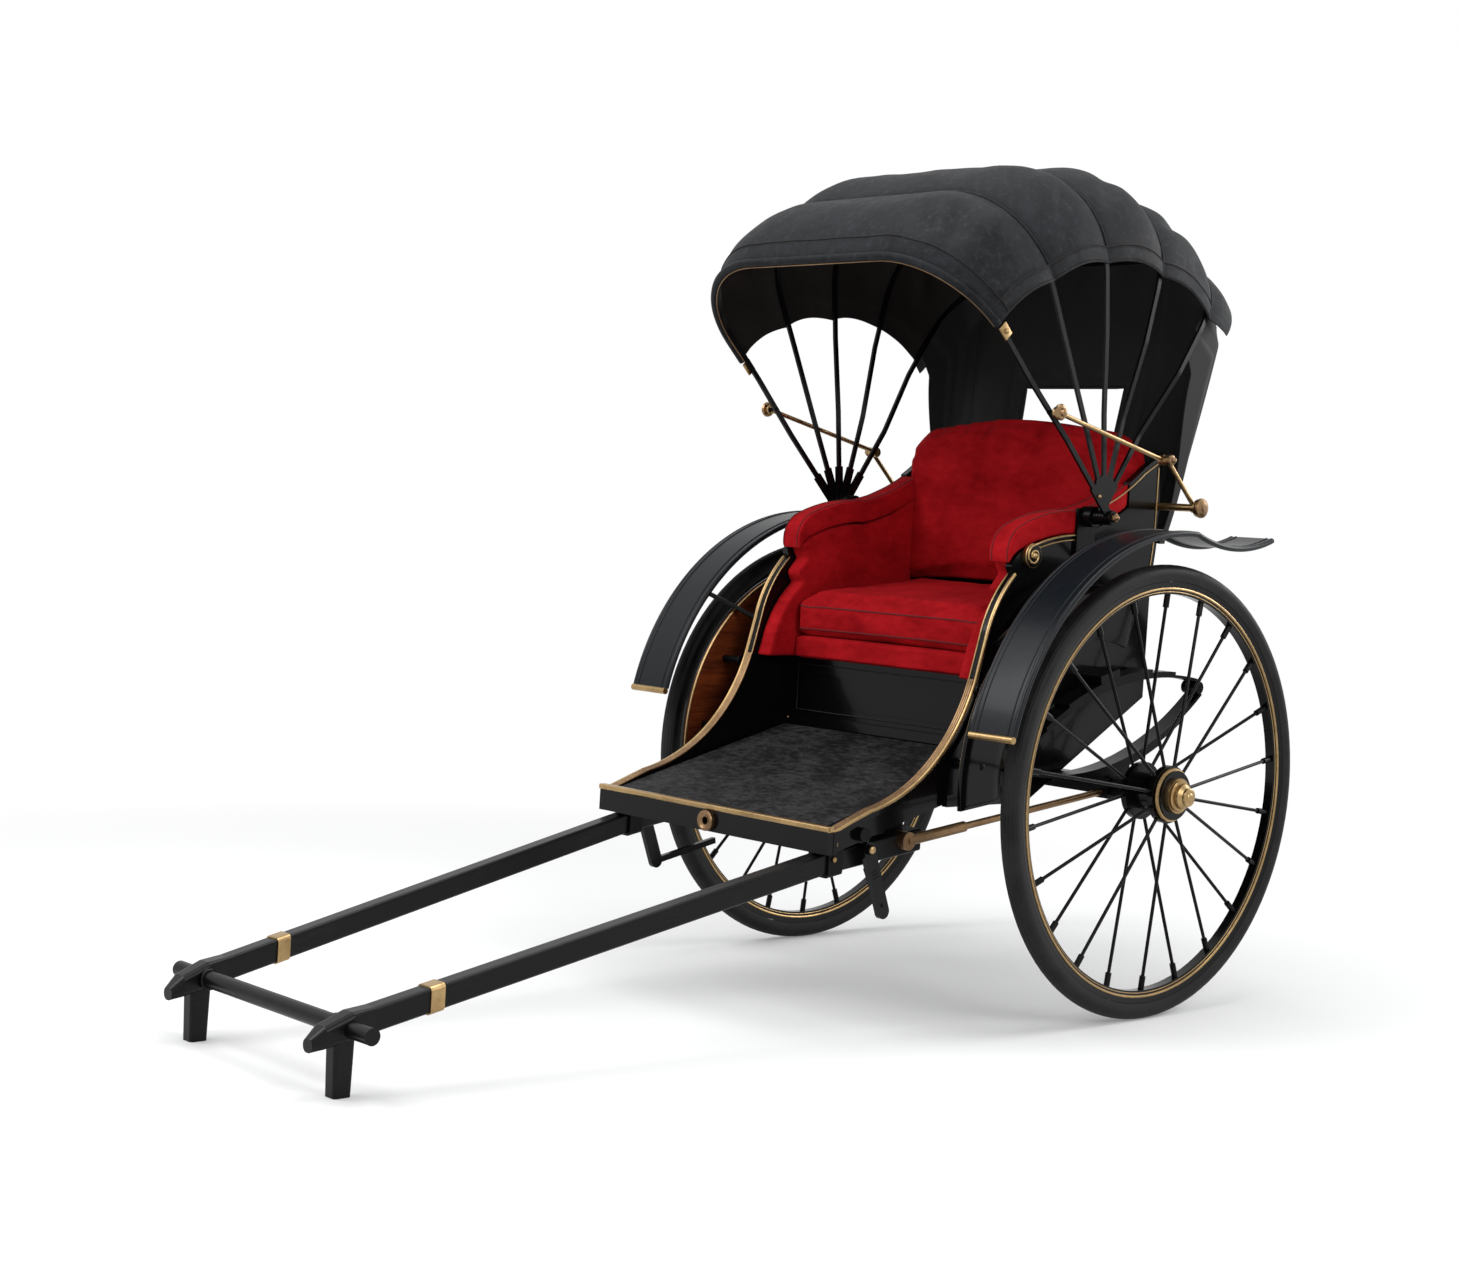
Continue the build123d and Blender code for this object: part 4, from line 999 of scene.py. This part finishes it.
# mouldings on the S-shaped edges: brass bead outside, ribbed bronze cap low down, fine line inside
trim = {"fine": 0.0019, "bead": 0.0050, "beadY": 0.3702, "ribs": (0.3628, 0.3572, 0.3516), "rib": 0.0034,
        "ribDrop": 0.001, "innerY": 0.3502, "inner": 0.0018, "innerDrop": 0.0005,
        "corner": [(0.866, -0.0708), (0.852, -0.0728), (0.836, -0.0706)]}
meeting = line["sweepHigh"][1]
lowerEdge = [point for point in sEdge if point[1] <= meeting + 0.001]
upperEdge = [point for point in sEdge if point[1] >= meeting - 0.001]
beads = strips(trim["corner"] + sEdge[1:], trim["beadY"], trim["bead"], 4)
beads += strips(shifted(upperEdge, -trim["innerDrop"]), trim["innerY"], trim["inner"])
settle(beads, "edgeBeadLines", "brass")
ribs = []
for y in trim["ribs"]:
    ribs += strips(shifted(lowerEdge, -trim["ribDrop"]), y, trim["rib"])
settle(ribs, "edgeRibs", "bronze")

# scroll under each arm: a bead along the arm that rolls up into a spiral
scroll = {"centre": (0.268, 0.522), "first": 84.0, "start": 0.0240, "end": 0.0080, "turns": 1.30, "steps": 46,
          "bead": 0.0030, "panelY": 0.3695, "faceY": 0.3770, "below": 0.058, "second": 0.011, "disc": 0.0262,
          "wall": 0.0016, "deep": 0.0085, "discY": 0.3670, "eyeY": 0.3755, "eye": (0.0080, 0.0075)}
scrollX, scrollZ = scroll["centre"]
underArm = [(x, z - scroll["below"]) for x, z in armTop if 0.075 < x < 0.258 and z > 0.56]
underArm.reverse()
spiral = []
for i in range(scroll["steps"] + 1):
    share = i / scroll["steps"]
    angle = math.radians(scroll["first"] - 360.0 * scroll["turns"] * share)
    radius = scroll["start"] + (scroll["end"] - scroll["start"]) * share ** 0.8
    spiral.append((scrollX + radius * math.cos(angle), scrollZ + radius * math.sin(angle)))
rolled = inRow(underArm, scroll["panelY"])[:-1] + inRow(spiral, scroll["faceY"])
scrolls = [tube(points, scroll["bead"]) for points in bothSides(rolled)]
scrolls += strips(shifted(underArm, -scroll["second"]), scroll["panelY"] - 0.001, scroll["bead"] * 0.7)
rim = scroll["disc"] + scroll["wall"]
hoop = [(scroll["disc"], -0.0005), (rim, 0.0), (rim, scroll["deep"]), (scroll["disc"], scroll["deep"] + 0.001)]
scrolls += pairOf(turned, (scrollX + axleX, scroll["discY"], scrollZ + axleZ), hoop)
scrolls += pairOf(dome, (scrollX + axleX, scroll["eyeY"], scrollZ + axleZ), *scroll["eye"])
settle(scrolls, "armScrolls", "brass")

# moulding from the hood pivot up to the back corner, and the line round the curl of the body
moulding = {"inset": 0.014, "corner": (-0.182, 0.757), "uprights": (0.745, 0.62), "steps": 36, "proud": 0.0008}
backLine = [(x, z - moulding["inset"])
            for x, z in arcThrough(line["armRear"], line["shoulderMid"], line["shoulder"], 20)]
backLine += [moulding["corner"]]
slope = math.radians(line["slope"])
centreX = line["back"] + line["curlRadius"]
centreZ = line["floorLow"] + (line["frontCorner"][0] - centreX) * math.tan(slope) + line["curlRadius"] / math.cos(slope)
curlRadius = line["curlRadius"] - moulding["inset"]
curl = [(line["back"] + moulding["inset"], z) for z in moulding["uprights"]]
for i in range(moulding["steps"] + 1):
    angle = math.radians(180 + (90 - line["slope"]) * i / moulding["steps"])
    curl.append((centreX + curlRadius * math.cos(angle), centreZ + curlRadius * math.sin(angle)))
mouldingY = line["half"] + moulding["proud"]
settle(strips(backLine, mouldingY, trim["fine"]) + strips(curl, mouldingY, trim["fine"]), "bodyLines", "brass")
print("body trim laid")

# bolts at the front corners and on the shaft clamps, and the ring of the front socket
front = {"bolts": ((0.080, 0.3672, 0.4165), (0.0640, 0.3507, 0.3815)), "nut": (0.0062, 0.0032),
         "head": (0.0062 * 0.6, 0.0024), "headOut": 0.0030,
         "ring": [(0.0095, -0.003), (0.0215, -0.003), (0.0232, 0.0), (0.0222, 0.0028), (0.0170, 0.0036),
                  (0.0135, 0.0012), (0.0095, 0.0)]}
bolts = []
for x, y, z in front["bolts"]:
    bolts += pairOf(hexNut, (x, y, z), *front["nut"]) + pairOf(dome, (x, y + front["headOut"], z), *front["head"])
settle(bolts, "cornerBolts", "brass")
low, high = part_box("front_socket")
socketAt = (high[0], 0.0, (low[2] + high[2]) / 2)
settle(turned(socketAt, (1, 0, 0), front["ring"]), "socketRing", "bronze")

# kick panel: a raised frame, and a rivet at each end of the ledge
kick = {"x": 0.295 + axleX, "half": 0.322, "low": 0.628, "high": 0.741, "bead": 0.0022,
        "rivet": (0.0030, 0.003), "rivetOut": 0.012, "rivetY": 0.338, "rivetZ": 0.606}
corners = [(kick["x"], y, z) for y, z in ((-kick["half"], kick["low"]), (kick["half"], kick["low"]),
                                          (kick["half"], kick["high"]), (-kick["half"], kick["high"]))]
# the frame takes the lighter bluish fender finish, so its lines show as painted highlights
settle(tube(corners, kick["bead"], closed=True), "kickFrame", "fender")
rivets = [dome((kick["x"] + kick["rivetOut"], y, kick["rivetZ"]), (1, 0, 0), *kick["rivet"])
          for y in (-kick["rivetY"], kick["rivetY"])]
settle(rivets, "kickRivets", "brass")

# wheel boards: wood inside and black outside, carried off the splash boards on spacers
board = {"centre": (0.1088, 0.0195), "inner": 0.318, "outer": 0.4452, "from": -7.0, "to": 108.0, "near": 0.4445,
         "thick": 0.010, "bevel": 0.0012, "turns": 56, "rings": 5, "line": 0.0030, "inset": 0.0052, "lineOut": 0.0006,
         "lineSteps": 60, "rest": 0.3815, "spacer": 0.0085, "spacerAt": 0.382, "spacers": (6.0, 32.0, 64.0, 95.0),
         "bolt": (0.0075, 0.004)}


def boardSpot(radius, degrees, y):
    a = math.radians(degrees)
    x, z = board["centre"]
    return (axleX + x + radius * math.cos(a), y, axleZ + z + radius * math.sin(a))


def boardSweep(share):
    return board["from"] + (board["to"] - board["from"]) * share


def wheelBoard(side, sign):
    out = (0, sign, 0)
    middle = sign * (board["near"] + board["thick"] / 2)

    def place(column, row):
        radius = board["inner"] + (board["outer"] - board["inner"]) * row / board["rings"]
        return boardSpot(radius, boardSweep(column / board["turns"]), middle)

    piece = gridOf(board["turns"], board["rings"], place)
    press(piece, "SOLIDIFY", thickness=board["thick"], offset=0.0)
    press(piece, "BEVEL", width=board["bevel"], segments=2, limit_method="ANGLE")
    for face in piece.data.polygons:
        face.material_index = 0 if face.normal.y * sign < -0.9 else 1
    smoothBy(piece, 35)
    settle(piece, "wheelBoard_" + side, ("wood", "lacquer"))
    lineRadius, lineY = board["outer"] - board["inset"], sign * (board["near"] - board["lineOut"])
    edge = [boardSpot(lineRadius, boardSweep(i / board["lineSteps"]), lineY) for i in range(board["lineSteps"] + 1)]
    settle(tube(edge, board["line"]), "wheelBoardLine_" + side, "brass")
    length = board["near"] - board["rest"] + 0.001
    outside = board["near"] + board["thick"] - 0.0005
    thin, broad = board["spacer"], board["spacer"] * 1.5
    rod = [(0.0, 0.0), (broad, 0.0), (broad, 0.005), (thin, 0.008), (thin, length), (0.0, length)]
    posts = []
    for degrees in board["spacers"]:
        posts.append(turned(boardSpot(board["spacerAt"], degrees, sign * board["rest"]), out, rod, 24))
        posts.append(dome(boardSpot(board["spacerAt"], degrees, sign * outside), out, *board["bolt"]))
    settle(posts, "boardSpacers_" + side, "satin")


for side, sign in flanks:
    wheelBoard(side, sign)
print("front, kick panel and wheel boards fitted")

# wheels: ribbed tyres, gold line on the rim, hub rings and finials
wheel = {
    "radius": 0.520, "height": 0.0375, "shoulder": 0.014, "half": 0.0230, "foot": 0.80, "crownSteps": 30,
    "grooveDepth": 0.0011, "y": 0.552, "steps": 120,
    "lines": ((0.0141, 0.4665, 0.0032), (-0.0141, 0.4665, 0.0032), (0.0128, 0.4588, 0.0012), (-0.0128, 0.4588, 0.0012)),
    "hubRing": [(0.0555, 0.046), (0.0600, 0.046), (0.0615, 0.050), (0.0600, 0.0545), (0.0565, 0.0555),
                (0.0555, 0.0540)],
    "finial": [(0.0, 0.092), (0.0205, 0.092), (0.0210, 0.0945), (0.0205, 0.0985), (0.0185, 0.1000), (0.0105, 0.1000),
               (0.0090, 0.1020), (0.0050, 0.1035), (0.0, 0.1038)],
    "collar": [(0.0275, 0.0705), (0.0345, 0.0705), (0.0360, 0.0735), (0.0340, 0.0768), (0.0290, 0.0775),
               (0.0275, 0.0760)],
}


def tyreRing():
    bed = wheel["radius"] - wheel["height"]
    ring = [(bed, -wheel["half"] * wheel["foot"])]
    for i in range(wheel["crownSteps"] + 1):
        angle = math.pi * (1 - i / wheel["crownSteps"])
        rise = wheel["shoulder"] + (wheel["height"] - wheel["shoulder"]) * math.sin(angle) ** 0.62
        groove = wheel["grooveDepth"] if (i % 4 == 2 and 5 < i < 25) else 0.0
        ring.append((bed + rise - groove, wheel["half"] * math.cos(angle)))
    return ring + [(bed, wheel["half"] * wheel["foot"])]


for side, sign in flanks:
    body = "wheel_" + side
    hub = ((axleX, sign * wheel["y"], axleZ), (0, sign, 0))
    tyre = settle(turned(*hub, tyreRing(), wheel["steps"]), "tyreTread_" + side, "rubber", body)
    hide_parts("tyre_" + side)
    rings = []
    for reach, at, thick in wheel["lines"]:
        angles = [2 * math.pi * i / 8 for i in range(8)]
        edge = [(at + thick * math.cos(a), reach + thick * math.sin(a)) for a in angles]
        rings.append(turned(*hub, edge, wheel["steps"]))
    settle(rings, "rimLine_" + side, "brass", body)
    brasses = [turned(*hub, wheel[part], steps) for part, steps in (("hubRing", 48), ("finial", 36), ("collar", 40))]
    settle(brasses, "hubTrim_" + side, "brass", body)
print("wheels dressed")

# fenders: rolled tubes along both edges, and a bead inside each
fender = {"radius": 0.592, "front": 14.0, "top": 92.0, "steps": 48, "dip": (-0.180, 0.564), "tail": (-0.312, 0.588),
          "roll": 0.0065, "edges": (0.4955, 0.6085), "plate": 0.0052, "beads": (0.5095, 0.5945), "bead": 0.0018}
over = []
for i in range(fender["steps"] + 1):
    a = math.radians(fender["front"] + (fender["top"] - fender["front"]) * i / fender["steps"])
    over.append((fender["radius"] * math.cos(a), fender["radius"] * math.sin(a)))
over += arcThrough(over[-1], fender["dip"], fender["tail"], 20)[1:]
for side, sign in flanks:
    rolls = [tube(inRow(over, sign * y), fender["roll"], sides=5) for y in fender["edges"]]
    rolls += [tube(inRow(shifted(over, -fender["plate"]), sign * y), fender["bead"]) for y in fender["beads"]]
    # rolls and beads take the fender finish, whose bluish grey is a painted sky reflection
    settle(rolls, "fenderRolls_" + side, "fender")
print("fender edges rolled")

# bolts on the front bow, and nuts on the hood pivots
socket = {"bolt": (0.0052, 0.004), "boltY": 0.4432, "reach": 0.066, "nut": (0.0105, 0.008), "nutY": 0.4515,
          "cap": (0.0065, 0.006), "capY": 0.4595}
boltAt = hoodSpot(hood["bows"][0], socket["boltY"], socket["reach"])
settle(pairOf(dome, boltAt, *socket["bolt"]), "bowBolts1", "bronze", "bow_1")
pivotX, pivotZ = hood["pivot"]
nuts = pairOf(hexNut, (pivotX, socket["nutY"], pivotZ), *socket["nut"])
nuts += pairOf(dome, (pivotX, socket["capY"], pivotZ), *socket["cap"])
settle(nuts, "pivotNuts", "bronze")

# clips that hold the cover to the front bow
clip = {"above": 0.024, "y": 0.4335, "size": (0.026, 0.005, 0.034), "bevel": 0.0018, "out": 0.0030,
        "rivet": (0.0062, 0.006), "rivetOut": 0.0055}
parts = []
for (side, sign), hems in zip(flanks, (hood["hemLeft"], hood["hemRight"])):
    degrees = hood["bows"][0]
    at = hoodSpot(degrees, sign * clip["y"], hems[0] - clip["above"])
    clearPick()
    bpy.ops.mesh.primitive_cube_add(size=1.0)
    plate = bpy.context.object
    plate.scale = clip["size"]
    bpy.ops.object.transform_apply(location=True, rotation=True, scale=True)
    press(plate, "BEVEL", width=clip["bevel"], segments=3)
    smoothBy(plate, 40)
    plate.data.transform(Matrix.Rotation(math.radians(90 - degrees), 4, "Y"))
    plate.data.transform(Matrix.Translation(at + Vector((0, sign * clip["out"], 0))))
    parts += [plate, dome(at + Vector((0, sign * clip["rivetOut"], 0)), (0, sign, 0), *clip["rivet"])]
settle(parts, "hoodClips", "brass", "bow_1")
print("hood hardware fitted")

# stays: turned knuckles and knobs
stay = {"top": (0.3169, 0.4640, 0.8410), "topSize": 0.0175, "elbow": (-0.073, 0.4790, 0.759), "elbowSize": 0.0125,
        "foot": (-0.190, 0.4810, 0.654),
        "knuckle": [(0.0, -0.002), (1.0, -0.002), (1.06, 0.003), (0.92, 0.007), (0.55, 0.009), (0.50, 0.0135),
                    (0.30, 0.016), (0.0, 0.0165)],
        "knob": [(0.0, -0.001), (0.0150, -0.001), (0.0215, 0.003), (0.0235, 0.008), (0.0225, 0.013), (0.0160, 0.017),
                 (0.0095, 0.0185), (0.0085, 0.021), (0.0, 0.0215)]}


def stayEnd(name, body, at, ring, steps):
    x, y, z = at
    settle(pairOf(turned, (x + axleX, y, z + axleZ), ring, steps), name, "bronze", body)


for name, body, end in (("stayTopNuts", "bow_1", "top"), ("stayElbowNuts", "stay_upper", "elbow")):
    ring = [(stay[end + "Size"] * radius, reach) for radius, reach in stay["knuckle"]]
    stayEnd(name, body, stay[end], ring, 32)
stayEnd("stayKnobFaces", "chassis", stay["foot"], stay["knob"], 36)
print("stays dressed")

# prop legs: ribs down the leg, a pin through the foot, and a brass bolt on the pivot
prop = {"pivot": (-0.017, 0.402), "along": (-0.3746, -0.9272), "face": 0.3760, "ribs": (0.050, 0.058, 0.066),
        "rib": 0.0016, "half": 0.0075, "foot": 0.132, "pin": (0.0045, 0.004), "bolt": (0.0085, 0.0055),
        "boltY": 0.3828}
propX, propZ = prop["pivot"]
dx, dz = prop["along"]
for side, sign in flanks:
    parts = []
    for reach in prop["ribs"]:
        middle = Vector((propX + dx * reach, sign * prop["face"], propZ + dz * reach))
        across = Vector((-dz, 0, dx)) * prop["half"]
        parts.append(tube([middle - across, middle, middle + across], prop["rib"]))
    at = (propX + dx * prop["foot"], sign * (prop["face"] - 0.0005), propZ + dz * prop["foot"])
    parts.append(dome(at, (0, sign, 0), *prop["pin"]))
    settle(parts, "propTrim_" + side, "satin", "prop_" + side)
settle(pairOf(dome, (propX, prop["boltY"], propZ), *prop["bolt"]), "propBolts", "brass")

# cross bar: a shoulder ring where it enters each tip
crossBar = {"at": (1.203, 0.2262, 0.125), "inner": 0.0160, "outer": 0.0215, "wide": 0.009, "ease": 0.002}
inner, outer, ease, wide = (crossBar[key] for key in ("inner", "outer", "ease", "wide"))
ring = [(inner, 0.0), (outer - ease, 0.0), (outer, -ease), (outer, ease - wide), (outer - ease, -wide), (inner, -wide)]
settle(pairOf(turned, crossBar["at"], ring, 32), "crossBarRings", "shaft")
print("legs and cross bar dressed")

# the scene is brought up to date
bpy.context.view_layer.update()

# camera at the photograph's angle
view = {"focalPixels": 2340.53, "width": 1458, "at": (3.5887, 3.7641, 1.0859), "azimuth": 136.987, "elevation": 2.915,
        "roll": 3.396, "sensor": 36.0}
a, e, r = (math.radians(view[key]) for key in ("azimuth", "elevation", "roll"))
back = Vector((math.sin(a) * math.cos(e), -math.cos(a) * math.cos(e), math.sin(e)))
right = Vector((math.cos(a), math.sin(a), 0))
up = back.cross(right)
leanRight = right * math.cos(r) + up * math.sin(r)
leanUp = up * math.cos(r) - right * math.sin(r)
clearPick()
bpy.ops.object.camera_add()
camera = bpy.context.object
turn = Matrix((leanRight, leanUp, back)).transposed().to_4x4()
camera.matrix_world = Matrix.Translation(view["at"]) @ turn
camera.data.sensor_fit = "HORIZONTAL"
camera.data.sensor_width = view["sensor"]
camera.data.lens = view["focalPixels"] / view["width"] * view["sensor"]
camera.data.clip_end = 200.0
bpy.context.scene.camera = camera

# floor, sky and lamps
stageSet = {"size": 60.0, "drop": 0.0005, "floor": (0.88, 0.88, 0.88, 1.0), "lift": 0.20, "near": 1.75, "far": 3.4,
            "sky": 0.42, "skyColour": (0.96, 0.98, 1.0, 1.0), "white": (1, 1, 1, 1)}
clearPick()
bpy.ops.mesh.primitive_plane_add(size=stageSet["size"], location=(0, 0, -stageSet["drop"]))
floor = bpy.context.object
floor.name = "paleFloor"
paper = Finish("paleFloor")
away = paper.node("VectorMath", {0: paper.places()}, out=1, operation="LENGTH")
fade = paper.between(away, stageSet["near"], stageSet["far"])
matte = paper.node("BsdfDiffuse", {"Color": stageSet["floor"]})
glow = paper.node("Emission", {"Color": stageSet["white"], "Strength": 1.0})
bright = paper.seen() * (stageSet["lift"] + (1 - stageSet["lift"]) * fade)
mixed = paper.node("MixShader", {0: bright, 1: matte, 2: glow})
# the floor is clear from below, so that the underside can be looked at
below = paper.node("NewGeometry", out=6)
paper.show(paper.node("MixShader", {0: below, 1: mixed, 2: paper.node("BsdfTransparent")}), "Material Output")
floor.data.materials.append(paper.material)

sky = bpy.data.worlds.new("studio")
bpy.context.scene.world = sky
sky.use_nodes = True
air = Patch(sky.node_tree)
soft = air.node("Background", {"Color": stageSet["skyColour"], "Strength": stageSet["sky"]})
white = air.node("Background", {"Color": stageSet["white"]})
air.show(air.node("MixShader", {0: air.seen(), 1: soft, 2: white}), "World Output")

lamps = (
    {"at": (2.6, -1.4, 3.6), "aim": (-0.2, 0.0, 0.8), "size": 2.4, "watts": 115.0},
    {"at": (0.6, 4.2, 3.0), "aim": (-0.5, 0.0, 0.8), "size": 2.2, "watts": 75.0},
    {"at": (-0.6, 0.2, 5.2), "aim": (-0.5, 0.0, 0.5), "size": 3.0, "watts": 110.0},
    {"at": (-4.2, 1.6, 2.4), "aim": (-0.6, 0.0, 0.9), "size": 2.0, "watts": 70.0},
)
for number, lamp in enumerate(lamps):
    clearPick()
    bpy.ops.object.light_add(type="AREA", location=lamp["at"])
    light = bpy.context.object
    light.name = "softLamp%d" % (number + 1)
    light.data.size = lamp["size"]
    light.data.energy = lamp["watts"]
    aim = Vector(lamp["aim"]) - Vector(lamp["at"])
    light.rotation_mode = "QUATERNION"
    light.rotation_quaternion = aim.to_track_quat("-Z", "Y")
bpy.context.scene.view_settings.view_transform = "Standard"
print("camera and lamps set")
